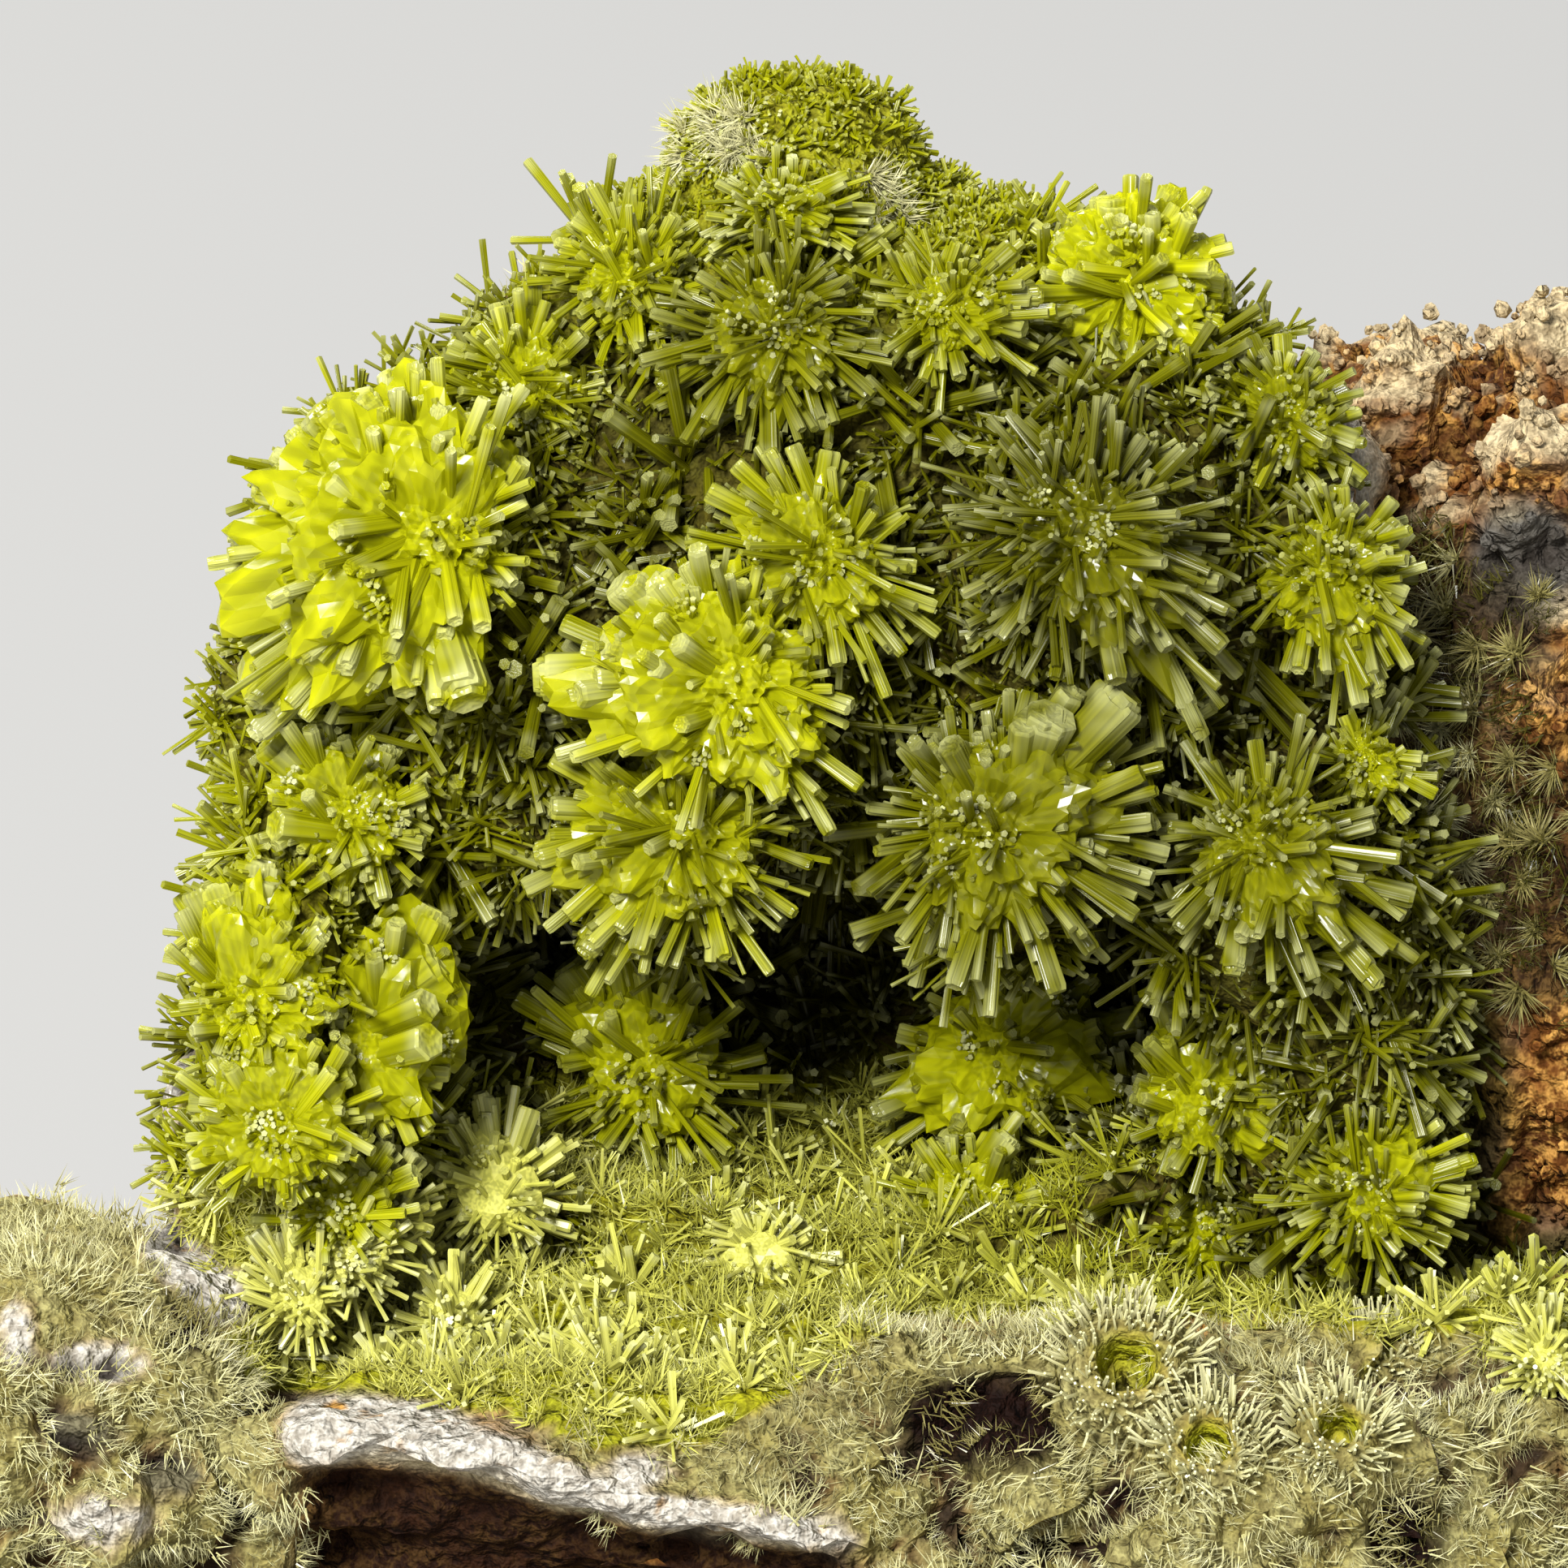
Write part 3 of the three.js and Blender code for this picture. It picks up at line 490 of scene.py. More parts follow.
# Small sprays and tufts. A kind has several variants, which take its widths in turn. count
# crystals up to length long, with so many sides (none for a needle), stand within spread degrees
# of upright but outside the middle share least of that, on a patch so many times their length.
Tuft = namedtuple(
    "Tuft", "name variants count length widths spread sides patch least", defaults=(6, 0.4, 0.0)
)
FACE_ROSETTES = (
    Tuft("rosette", 6, 26, 3.3, (0.2, 0.24, 0.28, 0.32), 86, 5, least=0.25),
    Tuft("long_rosette", 2, 9, 3.9, (0.42,), 76, least=0.3),
)
FACE_COVER = (Tuft("cover", 6, 10, 1.7, (0.17,), 82, 3, 0.9, 0.2),)
FLOOR_TUFTS = (Tuft("floor_tuft", 8, 33, 1.5, (0.13,), 84, 0, 0.6),)
FLOOR_ROSETTES = (Tuft("floor_spray", 5, 15, 2.3, (0.12, 0.16, 0.2, 0.24, 0.28), 84, 4, 0.2),)
NEEDLE_TUFTS = (Tuft("tuft", 6, 52, 1.05, (0.09,), 50, 0, 1.6),)
POMPOMS = (Tuft("pompom", 4, 90, 1.7, (0.12,), 88, 0, 0.25),)
SUMMIT_GRAINS = (Tuft("grain", 5, 13, 0.8, (0.15,), 80, 4, 1.1),)
RUST_LUMPS = 5  # variants of a cluster of rusty grains, and grains in each


def linear(code):
    """The linear colour of an sRGB hex code."""
    parts = [int(code[i:i + 2], 16) / 255 for i in (1, 3, 5)]
    return [p / 12.92 if p <= 0.04045 else ((p + 0.055) / 1.055) ** 2.4 for p in parts]


def length_property(name, description, default, least, most):
    """A length, given in millimetres."""
    return FloatProperty(
        name=name, description=description, default=default * MM, min=least * MM, max=most * MM,
        unit="LENGTH",
    )


def colour_property(name, code, description):
    """A colour, given as an sRGB hex code."""
    return FloatVectorProperty(
        name=name, description=description, subtype="COLOR", size=3, min=0, max=1,
        default=linear(code),
    )


class SpecimenSizes(bpy.types.PropertyGroup):
    """Sizes of the rock's relief and of the crystals"""

    rock_grain: length_property("Rock grain", "Voxel size of the rock's surface", 0.54, 0.3, 2)
    relief: length_property("Relief", "Height of the rock's lumps", 1.1, 0, 3)
    needle_gap: length_property("Needle gap", "Least distance between tufts of needles", 0.95, 0.3, 4)
    rosette_gap: length_property(
        "Rosette gap", "Least distance between the small sprays of the face", 1.8, 1, 8
    )
    carpet_gap: length_property(
        "Carpet gap", "Least distance between the tufts of the floor", 0.8, 0.2, 3
    )
    seed: IntProperty(name="Seed", description="Seed of all that is random", default=7, min=0)


class SpecimenColours(bpy.types.PropertyGroup):
    """Colours of the minerals"""

    olive: colour_property("Olive", "#464508", "Pyromorphite in the shade of the hollow")
    yellow: colour_property("Yellow", "#aaad0b", "Pyromorphite on the lit rims")
    pale: colour_property("Pale", "#e6e7a6", "Whitish ends of the crystals")
    straw: colour_property("Straw", "#e4e374", "Pyromorphite of the floor, paler to the front")
    needle_root: colour_property("Needle root", "#9a8f50", "Fine needles, deep in a druse")
    needle_tip: colour_property("Needle tip", "#f8f4c2", "Ends of the fine needles")
    druse: colour_property("Druse", "#b0a86c", "Rock that shows between the fine needles")
    quartz: colour_property("Quartz", "#a08c6c", "Drusy quartz of the rock")
    white: colour_property("White", "#dcd6c8", "Broken white quartz")
    rust: colour_property("Rust", "#7a4819", "Iron stain in the pits")
    ochre: colour_property("Ochre", "#cd994c", "Weathered iron stain")
    smoke: colour_property("Smoke", "#66625a", "Grey quartz")
    cream: colour_property("Cream", "#e0cfa4", "Knobs on top of the crest")
    # Painted shade: the near-black that the rock takes deep in its cavities, under the lip, in crevices and
    # between the sprays
    cavity_shade: colour_property("Cavity", "#1d0b04", "Rock deep in the cavities")


def add_node(tree, kind, inputs=None, output=None, **settings):
    """Add a node, set its properties, and give its inputs values or links from output sockets.
    Returns the node, or the one of its outputs that is asked for."""
    node = tree.nodes.new(kind)
    for name, value in settings.items():
        setattr(node, name, value)
    for key, value in (inputs or {}).items():
        socket = node.inputs[key]
        if isinstance(value, bpy.types.NodeSocket):
            tree.links.new(value, socket)
        elif socket.type == "RGBA":
            socket.default_value = (*value, 1)
        else:
            socket.default_value = value
    return node if output is None else node.outputs[output]


def finish_material(name, tree_inputs):
    """A material whose shader's inputs come from a function that is given the material's tree."""
    material = bpy.data.materials.new(name)
    material.use_nodes = True
    tree = material.node_tree
    tree.nodes.clear()
    shader = add_node(
        tree, "ShaderNodeBsdfPrincipled", tree_inputs(tree), subsurface_method="BURLEY"
    )
    add_node(tree, "ShaderNodeOutputMaterial", {"Surface": shader.outputs[0]})
    return material


# Sizes of the patterns, in millimetres
CLOUD_SIZE = 1.111  # veils in the ends of crystals
MOTTLE_SIZE = 2.381  # stains in quartz
SUGAR_SIZE = 0.4348  # sugary grains of quartz
PORE_SIZE = 0.6667  # pores that iron has eaten
PATCH_SIZE = 5.0  # patches of the rock that differ in stain and druse
# Smooth steps along and across a crystal, as (mask, what it reads, from, to)
CRYSTAL_STEPS = (
    ("past_root", "along", 0.0, 0.55), ("highlight_streaked", "streak", 0.45, 1.0), ("upper", "along", 0.2, 0.8),
    ("line", "lines", 0.3, 0.7), ("end", "along", 0.72, 1.05), ("cloudy", "cloud", 0.25, 0.75),
)
# Shades of a crystal, as (mask, times this where it is 0, times this where it is 1)
CRYSTAL_SHADES = (
    ("vary", (0.66, 0.66, 0.6), (1.08, 1.08, 1.0)),
    # Darker at the root: partly a deeper colour there, partly painted shade where the crystals crowd
    ("past_root", (0.72, 0.7, 0.55), (1.0, 1.0, 1.0)),
    # Painted highlights: lighter columns down the upper part of a crystal
    ("highlight_streaks", (1.0, 1.0, 1.0), (1.27, 1.25, 1.3)),
    ("line", (0.78, 0.78, 0.68), (1.14, 1.12, 1.1)),
)


def crystal_body(tree, dark, light, pale):
    """Colour of a crystal from its own attributes: darker at the root, partly as painted shade,
    with painted highlights in columns along its length, and lighter towards a whitish end.
    Returns the colour and the fine striation down the crystal."""
    masks = {}
    for name in ("along", "streak", "vary", "bright", "pale"):
        masks[name] = add_node(tree, "ShaderNodeAttribute", output="Fac", attribute_name=name)
    drawn = add_node(tree, "ShaderNodeAttribute", output="Vector", attribute_name="lines")
    place = add_node(tree, "ShaderNodeTexCoord", output="Object")
    for name, vector, scale in (("lines", drawn, 1.0), ("cloud", place, 1 / (CLOUD_SIZE * MM))):
        settings = {"Vector": vector, "Scale": scale, "Detail": 0, "Roughness": 0.55}
        masks[name] = add_node(tree, "ShaderNodeTexNoise", settings, "Fac")
    for name, source, low, high in CRYSTAL_STEPS:
        settings = {"Value": masks[source], "From Min": low, "From Max": high}
        masks[name] = add_node(tree, "ShaderNodeMapRange", settings, 0, interpolation_type="SMOOTHSTEP")
    for name, first, second in (
        ("highlight_streaks", "highlight_streaked", "upper"), ("veil", "pale", "end"), ("veil", "veil", "cloudy")
    ):
        factors = {0: masks[first], 1: masks[second]}
        masks[name] = add_node(tree, "ShaderNodeMath", factors, 0, operation="MULTIPLY")
    colours = {0: masks["bright"], 6: dark, 7: light}
    body = add_node(tree, "ShaderNodeMix", colours, 2, data_type="RGBA")
    for mask, low, high in CRYSTAL_SHADES:
        colours = {0: masks[mask], 6: low, 7: high}
        shade = add_node(tree, "ShaderNodeMix", colours, 2, data_type="RGBA")
        colours = {0: 1.0, 6: body, 7: shade}
        body = add_node(tree, "ShaderNodeMix", colours, 2, data_type="RGBA", blend_type="MULTIPLY")
    colours = {0: masks["veil"], 6: body, 7: pale}
    return add_node(tree, "ShaderNodeMix", colours, 2, data_type="RGBA"), masks["lines"]


def pyromorphite_material(colours, name, glow):
    """Pyromorphite: a lead phosphate with a resinous lustre, grown in striated hexagonal prisms.
    Light passes into it and out again where crystals have grown together."""
    def inputs(tree):
        body, lines = crystal_body(tree, colours.olive, colours.yellow, colours.pale)
        height = {"Strength": 0.5, "Distance": 0.08 * MM, "Height": lines}
        return {
            "Base Color": body, "Roughness": 0.24, "IOR": 1.5, "Specular IOR Level": 0.3,
            "Subsurface Weight": glow, "Subsurface Radius": (1.0, 1.0, 0.1),
            "Subsurface Scale": 0.9 * MM,
            "Normal": add_node(tree, "ShaderNodeBump", height, "Normal"),
        }
    return finish_material(name, inputs)


def needle_material(name, root, tip, pale):
    """The same mineral in fine needles, from its root to its whitish end."""
    def inputs(tree):
        body, _ = crystal_body(tree, root, tip, pale)
        return {"Base Color": body, "Roughness": 0.35, "IOR": 1.6}
    return finish_material(name, inputs)


# Smooth steps in the quartz's patterns, as (mask, pattern, from, to)
QUARTZ_STEPS = (
    ("mottled", "mottle", 0.35, 0.7), ("weathered", "mottle", 0.36, 0.6), ("eaten", "sugar", 0.58, 0.4),
    ("seamed", "mottle", 0.42, 0.3), ("furred", "mottle", 0.35, 0.65), ("lit", "sugar", 0.3, 0.7),
)
# Colours laid over each other, as (result, mask, where the mask is 0, where it is 1)
QUARTZ_LAYERS = (
    ("body", "mottled", "quartz", "ochre"),
    ("stain", "weathered", "rust", "ochre"),
    ("stain", "eaten", "stain", "rust"),
    ("body", "iron", "body", "stain"),
    ("body", "smoke", "body", "smoke"),
    ("chalk", "seamed", "white", "ochre"),
    ("chalk", "iron", "chalk", "cream"),
    ("body", "white", "body", "chalk"),
    ("fur", "furred", "needle_root", "druse"),
    ("body", "druse", "body", "fur"),
    ("crystals", "bright", "olive", "yellow"),
    ("body", "green", "body", "crystals"),
    # Painted shade: where the dark mask is, the rock takes the colour of deep shade
    ("body", "dark", "body", "cavity_shade"),
)
# Painted shade between the sugary grains and painted light on their tops
GRAIN_SHADES = ((0.5, 0.47, 0.43), (1.15, 1.15, 1.15))  # between the sugary grains and on them


def quartz_material(colours):
    """Drusy vein quartz: sugary and matt, white where it is broken, porous and brown where iron
    has soaked into it, and grey in patches."""
    def inputs(tree):
        place = add_node(tree, "ShaderNodeTexCoord", output="Object")
        masks = {}
        for name, size, detail, roughness in (
            ("mottle", MOTTLE_SIZE, 3, 0.65), ("sugar", SUGAR_SIZE, 2, 0.7)
        ):
            settings = {
                "Vector": place, "Scale": 1 / (size * MM), "Detail": detail, "Roughness": roughness
            }
            masks[name] = add_node(tree, "ShaderNodeTexNoise", settings, "Fac")
        settings = {"Vector": place, "Scale": 1 / (PORE_SIZE * MM)}
        pores = add_node(tree, "ShaderNodeTexVoronoi", settings, "Distance", feature="F1")
        for name in ("iron", "smoke", "white", "druse", "bright", "green", "dark"):
            masks[name] = add_node(tree, "ShaderNodeAttribute", output="Fac", attribute_name=name)
        for name, source, low, high in QUARTZ_STEPS:
            settings = {"Value": masks[source], "From Min": low, "From Max": high}
            masks[name] = add_node(
                tree, "ShaderNodeMapRange", settings, 0, interpolation_type="SMOOTHSTEP"
            )
        made = {}
        for result, mask, *pair in QUARTZ_LAYERS:
            first, second = (made[name] if name in made else getattr(colours, name) for name in pair)
            layers = {0: masks[mask], 6: first, 7: second}
            made[result] = add_node(tree, "ShaderNodeMix", layers, 2, data_type="RGBA")
        layers = {0: masks["lit"], 6: GRAIN_SHADES[0], 7: GRAIN_SHADES[1]}
        shade = add_node(tree, "ShaderNodeMix", layers, 2, data_type="RGBA")
        layers = {0: 1.0, 6: made["body"], 7: shade}
        body = add_node(tree, "ShaderNodeMix", layers, 2, data_type="RGBA", blend_type="MULTIPLY")
        height = add_node(
            tree, "ShaderNodeMath", {0: masks["sugar"], 1: pores}, 0, operation="SUBTRACT"
        )
        bump = {"Strength": 1.0, "Distance": 0.4 * MM, "Height": height}
        return {
            "Base Color": body, "Roughness": 0.8, "Specular IOR Level": 0.15,
            "Normal": add_node(tree, "ShaderNodeBump", bump, "Normal"),
        }
    return finish_material("iron_stained_quartz", inputs)


def node_group(name, inputs):
    """A Geometry Nodes tree with a geometry in and out and the given inputs, and its inputs'
    sockets."""
    tree = bpy.data.node_groups.new(name, "GeometryNodeTree")
    tree.interface.new_socket("Geometry", in_out="OUTPUT", socket_type="NodeSocketGeometry")
    for title, kind, default in (("Geometry", "Geometry", None), *inputs):
        socket = tree.interface.new_socket(title, in_out="INPUT", socket_type="NodeSocket" + kind)
        if default is not None:
            socket.default_value = default
    return tree, add_node(tree, "NodeGroupInput").outputs


STORED = "GeometryNodeInputNamedAttribute"


def finish_tree(tree, geometry, material, fused=None):
    """End a tree in realized instances and one material, with a second one on fused masses."""
    ends = add_node(tree, "GeometryNodeRealizeInstances", {"Geometry": geometry}, 0)
    ends = add_node(tree, "GeometryNodeSetMaterial", {"Geometry": ends, "Material": material}, 0)
    if fused:
        masses = add_node(tree, STORED, {"Name": "fused"}, "Attribute", data_type="FLOAT")
        inputs = {"Geometry": ends, "Selection": masses, "Material": fused}
        ends = add_node(tree, "GeometryNodeSetMaterial", inputs, 0)
    add_node(tree, "NodeGroupOutput", {"Geometry": ends})


def instances(tree, points, shapes, pick, turn, size):
    """One of a collection's shapes on each point."""
    children = {"Collection": shapes, "Separate Children": True, "Reset Children": True}
    shapes = add_node(tree, "GeometryNodeCollectionInfo", children, 0)
    inputs = {"Points": points, "Instance": shapes, "Pick Instance": True, "Instance Index": pick,
              "Rotation": turn, "Scale": size}
    return add_node(tree, "GeometryNodeInstanceOnPoints", inputs, 0)


def spray_tree():
    """One crystal on each point, turned and sized by the point's own attributes, and the fused
    mass that the crystals grow from."""
    tree, given = node_group("crystals_on_points", [
        ("Shapes", "Collection", None), ("Mass", "Object", None), ("Material", "Material", None),
        ("Fused", "Material", None),
    ])
    turn, pick, measure = (
        add_node(tree, STORED, {"Name": name}, "Attribute", data_type=kind)
        for name, kind in (("turn", "FLOAT_VECTOR"), ("kind", "INT"), ("measure", "FLOAT_VECTOR"))
    )
    turn = add_node(tree, "FunctionNodeEulerToRotation", {"Euler": turn}, 0)
    crystals = instances(tree, given["Geometry"], given["Shapes"], pick, turn, measure)
    mass = add_node(tree, "GeometryNodeObjectInfo", {"Object": given["Mass"]}, "Geometry")
    both = add_node(tree, "GeometryNodeJoinGeometry", {"Geometry": crystals})
    tree.links.new(mass, both.inputs["Geometry"])
    finish_tree(tree, both.outputs[0], given["Material"], given["Fused"])
    return tree


CROWDING = 1.6  # points tried for each square of the least distance between them
SHAPE_CHOICES = 31  # more than any collection has, so that its shapes come round evenly


def scatter_tree():
    """Shapes strewn over a surface, standing on it, thinned by the surface's own mask."""
    tree, given = node_group("shapes_on_surface", [
        ("Shapes", "Collection", None), ("Material", "Material", None), ("Mask", "String", ""),
        ("Gap", "Float", 1 * MM), ("Seed", "Int", 0), ("Smallest", "Float", 0.6),
        ("Largest", "Float", 1.2), ("Tilt", "Float", 0.4),
    ])
    gap, seed = given["Gap"], given["Seed"]
    mask = add_node(tree, STORED, {"Name": given["Mask"]}, "Attribute", data_type="FLOAT")
    area = add_node(tree, "ShaderNodeMath", {0: gap, 1: gap}, 0, operation="MULTIPLY")
    most = add_node(tree, "ShaderNodeMath", {0: CROWDING, 1: area}, 0, operation="DIVIDE")
    spots = add_node(
        tree, "GeometryNodeDistributePointsOnFaces",
        {"Mesh": given["Geometry"], "Distance Min": gap, "Density Max": most,
         "Density Factor": mask, "Seed": seed},
        distribute_method="POISSON", use_legacy_normal=False,
    ).outputs
    # Any turn about its own axis, and up to the tilt about the other two
    turns = [
        add_node(
            tree, "ShaderNodeVectorMath", {0: (side, side, 0), "Scale": given["Tilt"]}, 0,
            operation="SCALE",
        )
        for side in (-1, 1)
    ]
    round_turn = {0: turns[1], 1: (0, 0, 2 * math.pi)}
    turns[1] = add_node(tree, "ShaderNodeVectorMath", round_turn, 0, operation="ADD")
    lean, size, pick = (
        add_node(tree, "FunctionNodeRandomValue", {**limits, "Seed": seed}, output, data_type=kind)
        for kind, output, limits in (
            ("FLOAT_VECTOR", 0, {0: turns[0], 1: turns[1]}),
            ("FLOAT", 1, {2: given["Smallest"], 3: given["Largest"]}),
            ("INT", 2, {4: 0, 5: SHAPE_CHOICES}),
        )
    )
    lean = add_node(tree, "FunctionNodeEulerToRotation", {"Euler": lean}, 0)
    turn = add_node(
        tree, "FunctionNodeRotateRotation", {"Rotation": spots["Rotation"], "Rotate By": lean}, 0,
        rotation_space="LOCAL",
    )
    shapes = instances(tree, spots["Points"], given["Shapes"], pick, turn, size)
    finish_tree(tree, shapes, given["Material"])
    return tree


# Relief of the rock, as (size in millimetres, share of the height): swells from broad to fine, and
# lumps where iron has eaten the rock
RELIEF_SWELLS = ((6.6666667, 1.8), (2.3809524, 1.5), (0.76923077, 0.7))
RELIEF_LUMPS = ((4.1666667, 2.6), (1.25, 1.5))


def relief_tree():
    """Lumps and sugary grain pushed out of the rock along its normals, rounder and rougher where
    iron has eaten the rock."""
    tree, given = node_group(
        "rock_relief", [("Height", "Float", 1 * MM), ("Material", "Material", None)]
    )
    place = add_node(tree, "GeometryNodeInputPosition", output=0)
    normal = add_node(tree, "GeometryNodeInputNormal", output=0)
    lumpy, free = (
        add_node(tree, STORED, {"Name": name}, "Attribute", data_type="FLOAT")
        for name in ("lumpy", "free")
    )
    height = 0.0
    for size, share in RELIEF_SWELLS:
        settings = {"Vector": place, "Scale": 1 / (size * MM), "Detail": 2, "Roughness": 0.55}
        level = add_node(tree, "ShaderNodeTexNoise", settings, "Fac")
        for operation, value in (("SUBTRACT", 0.5), ("MULTIPLY", share), ("ADD", height)):
            level = add_node(tree, "ShaderNodeMath", {0: level, 1: value}, 0, operation=operation)
        height = level
    for size, share in RELIEF_LUMPS:
        settings = {"Vector": place, "Scale": 1 / (size * MM)}
        cells = add_node(tree, "ShaderNodeTexVoronoi", settings, "Distance", feature="SMOOTH_F1")
        level = add_node(tree, "ShaderNodeMath", {0: 0.45, 1: cells}, 0, operation="SUBTRACT")
        for operation, value in (("MULTIPLY", share), ("MULTIPLY", lumpy), ("ADD", height)):
            level = add_node(tree, "ShaderNodeMath", {0: level, 1: value}, 0, operation=operation)
        height = level
    for value in (given["Height"], free):
        height = add_node(tree, "ShaderNodeMath", {0: height, 1: value}, 0, operation="MULTIPLY")
    push = {0: normal, "Scale": height}
    offset = add_node(tree, "ShaderNodeVectorMath", push, 0, operation="SCALE")
    moves = {"Geometry": given["Geometry"], "Offset": offset}
    moved = add_node(tree, "GeometryNodeSetPosition", moves, 0)
    finish_tree(tree, moved, given["Material"])
    return tree


def run_tree(name, mesh, tree, **inputs):
    """The plain mesh that a tree makes from a mesh, as a new object."""
    carrier = bpy.data.objects.new(name, mesh)
    bpy.context.scene.collection.objects.link(carrier)
    modifier = carrier.modifiers.new("nodes", "NODES")
    modifier.node_group = tree
    for item in tree.interface.items_tree:
        if item.item_type == "SOCKET" and item.in_out == "INPUT" and item.name in inputs:
            modifier[item.identifier] = inputs[item.name]
    graph = bpy.context.evaluated_depsgraph_get()
    made = bpy.data.meshes.new_from_object(
        carrier.evaluated_get(graph), preserve_all_data_layers=True, depsgraph=graph
    )
    bpy.data.objects.remove(carrier)
    return add_object(name, made)


def add_object(name, mesh):
    mesh.name = name
    piece = bpy.data.objects.new(name, mesh)
    bpy.context.scene.collection.objects.link(piece)
    return piece


def set_values(mesh, name, values, kind="FLOAT"):
    """Store one value for each vertex."""
    layer = mesh.attributes.new(name, kind, "POINT")
    field = {"FLOAT": "value", "INT": "value", "FLOAT_VECTOR": "vector"}[kind]
    layer.data.foreach_set(field, np.asarray(values).ravel())


# Crystal shapes

TUFT_TAPER = 0.75  # a small crystal's width at its root, as a share of its width at the end


def prism_data(sides, groove=0.0, chamfer=0.0):
    """Points and faces of a prism one wide and one long: sides, bevelled edge and dished end."""
    count = sides * 2 if groove else sides
    rings = [(0.0, 1.0), (1.0, 1.0)]
    if chamfer:
        rings = [(0.0, 1.0), (1.0 - chamfer / 5, 1.0), (1.0, 1.0 - chamfer)]
    points = []
    for height, radius in rings:
        for i in range(count):
            flat = math.cos(math.pi / sides) * (1 - groove)
            reach = radius * 0.5 * (flat if groove and i % 2 else 1.0)
            angle = 2 * math.pi * i / count
            points.append((reach * math.cos(angle), reach * math.sin(angle), height))
    faces = []
    for ring in range(len(rings) - 1):
        low = ring * count
        high = low + count
        faces += [(low + i, low + (i + 1) % count, high + (i + 1) % count, high + i) for i in range(count)]
    last = (len(rings) - 1) * count
    if chamfer:
        points.append((0, 0, 1.0 - chamfer / 8))
        faces += [(last + i, last + (i + 1) % count, len(points) - 1) for i in range(count)]
    else:
        faces.append(tuple(range(last, last + count)))
    return points, faces, count


def spike_data():
    """Points and faces of a three-sided needle one wide and one long, for the finest needles."""
    points = [(0.5 * math.cos(a), 0.5 * math.sin(a), 0.0) for a in (0.0, 2.1, 4.2)] + [(0.0, 0.0, 1.0)]
    return points, [(0, 1, 3), (1, 2, 3), (2, 0, 3)], 3


def crystal_group(name, crystals, chance, shape, scale=1.0, tinted=False):
    """Prisms joined in one mesh, each given as (root, direction, length, root width, end width).
    Each keeps how far along it a point is, columns of painted highlight down its length, and
    where it is tinted, a tint of its own."""
    template, template_faces, count = shape
    points, faces, along, vary, streak, lines = [], [], [], [], [], []
    for root, direction, length, narrow, wide in crystals:
        turn = direction.to_track_quat("Z", "Y").to_matrix()
        roll = Matrix.Rotation(chance.random() * math.pi, 3, "Z")
        tint = chance.random()
        columns = [chance.random() for _ in range(count + 1)]
        start = len(points)
        for i, point in enumerate(template):
            width = narrow + (wide - narrow) * point[2]
            sized = Vector((point[0] * width, point[1] * width, point[2] * length))
            points.append((turn @ (roll @ sized) + root) * scale)
            along.append(point[2])
            lines.append((9 * point[0], 9 * point[1], 20 * tint))
            vary.append(tint)
            streak.append(columns[i % count] if i < len(template) - 1 or count % 2 else 0.9)
        faces += [tuple(start + i for i in face) for face in template_faces]
    mesh = bpy.data.meshes.new(name)
    mesh.from_pydata(points, [], faces)
    set_values(mesh, "along", along)
    if tinted:
        set_values(mesh, "vary", vary)
    set_values(mesh, "streak", streak)
    set_values(mesh, "lines", lines, "FLOAT_VECTOR")
    return mesh


def single_crystal(name, chance, groove=0.0, root=0.7, chamfer=0.14):
    """One crystal, one wide and one long."""
    straight = Vector((0, 0, 1))
    shape = prism_data(6, groove, chamfer)
    return crystal_group(name, [(Vector(), straight, 1.0, root, 1.0)], chance, shape)


def crystal_bundle(name, chance, strands, root, step):
    """A crystal one wide and one long that has grown as prisms side by side: narrower at the
    root, with an uneven end."""
    turn = math.pi * (3 - math.sqrt(5))
    wide = 1.95 / math.sqrt(strands)
    reach = 0.52 - wide / 2
    crystals = []
    for i in range(strands):
        out = reach * math.sqrt(i / max(1, strands - 1))
        side = Vector((math.cos(i * turn), 0.62 * math.sin(i * turn), 0)) * out
        top = Vector((side.x, side.y, 1 - step * chance.random() * (0.3 + out / reach)))
        low = side * root
        line = top - low
        end = wide * chance.uniform(0.85, 1.15)
        crystals.append((low, line.normalized(), line.length, wide * root, end))
    return crystal_group(name, crystals, chance, prism_data(6, chamfer=0.1))


def sparkle(name, chance, count=24):
    """A patch of small crystal ends that stand just above the mass that they have grown in."""
    crystals = []
    for i in range(count):
        out = 0.5 * math.sqrt((i + 0.5) / count)
        angle = i * 2.4
        root = Vector((out * math.cos(angle) * 0.8, out * math.sin(angle) * 0.8, -0.4))
        lean = Vector((root.x, root.y, 1)) + direction_in_cone(chance, math.pi) * 0.6
        wide = chance.uniform(0.14, 0.26)
        crystals.append((root, lean.normalized(), chance.uniform(0.4, 0.7), wide, wide))
    return crystal_group(name, crystals, chance, prism_data(5))


def tufts(kinds, chance):
    """Meshes of all variants of some kinds of tuft."""
    made = []
    for kind in kinds:
        shape = prism_data(kind.sides) if kind.sides else spike_data()
        spread = math.radians(kind.spread)
        for i in range(kind.variants):
            crystals = []
            for _ in range(kind.count):
                axis = direction_in_cone(chance, spread, kind.least)
                long = kind.length * chance.uniform(0.55, 1.0) * (0.75 + 0.25 * axis.z)
                wide = kind.widths[i % len(kind.widths)] * chance.uniform(0.6, 1.4)
                side = Vector((chance.uniform(-1, 1), chance.uniform(-1, 1), 0))
                root = side * kind.length * kind.patch / 2
                crystals.append((root, axis, long, wide * TUFT_TAPER, wide))
            name = f"{kind.name}_{i}"
            made.append(crystal_group(name, crystals, chance, shape, MM, tinted=True))
    return made


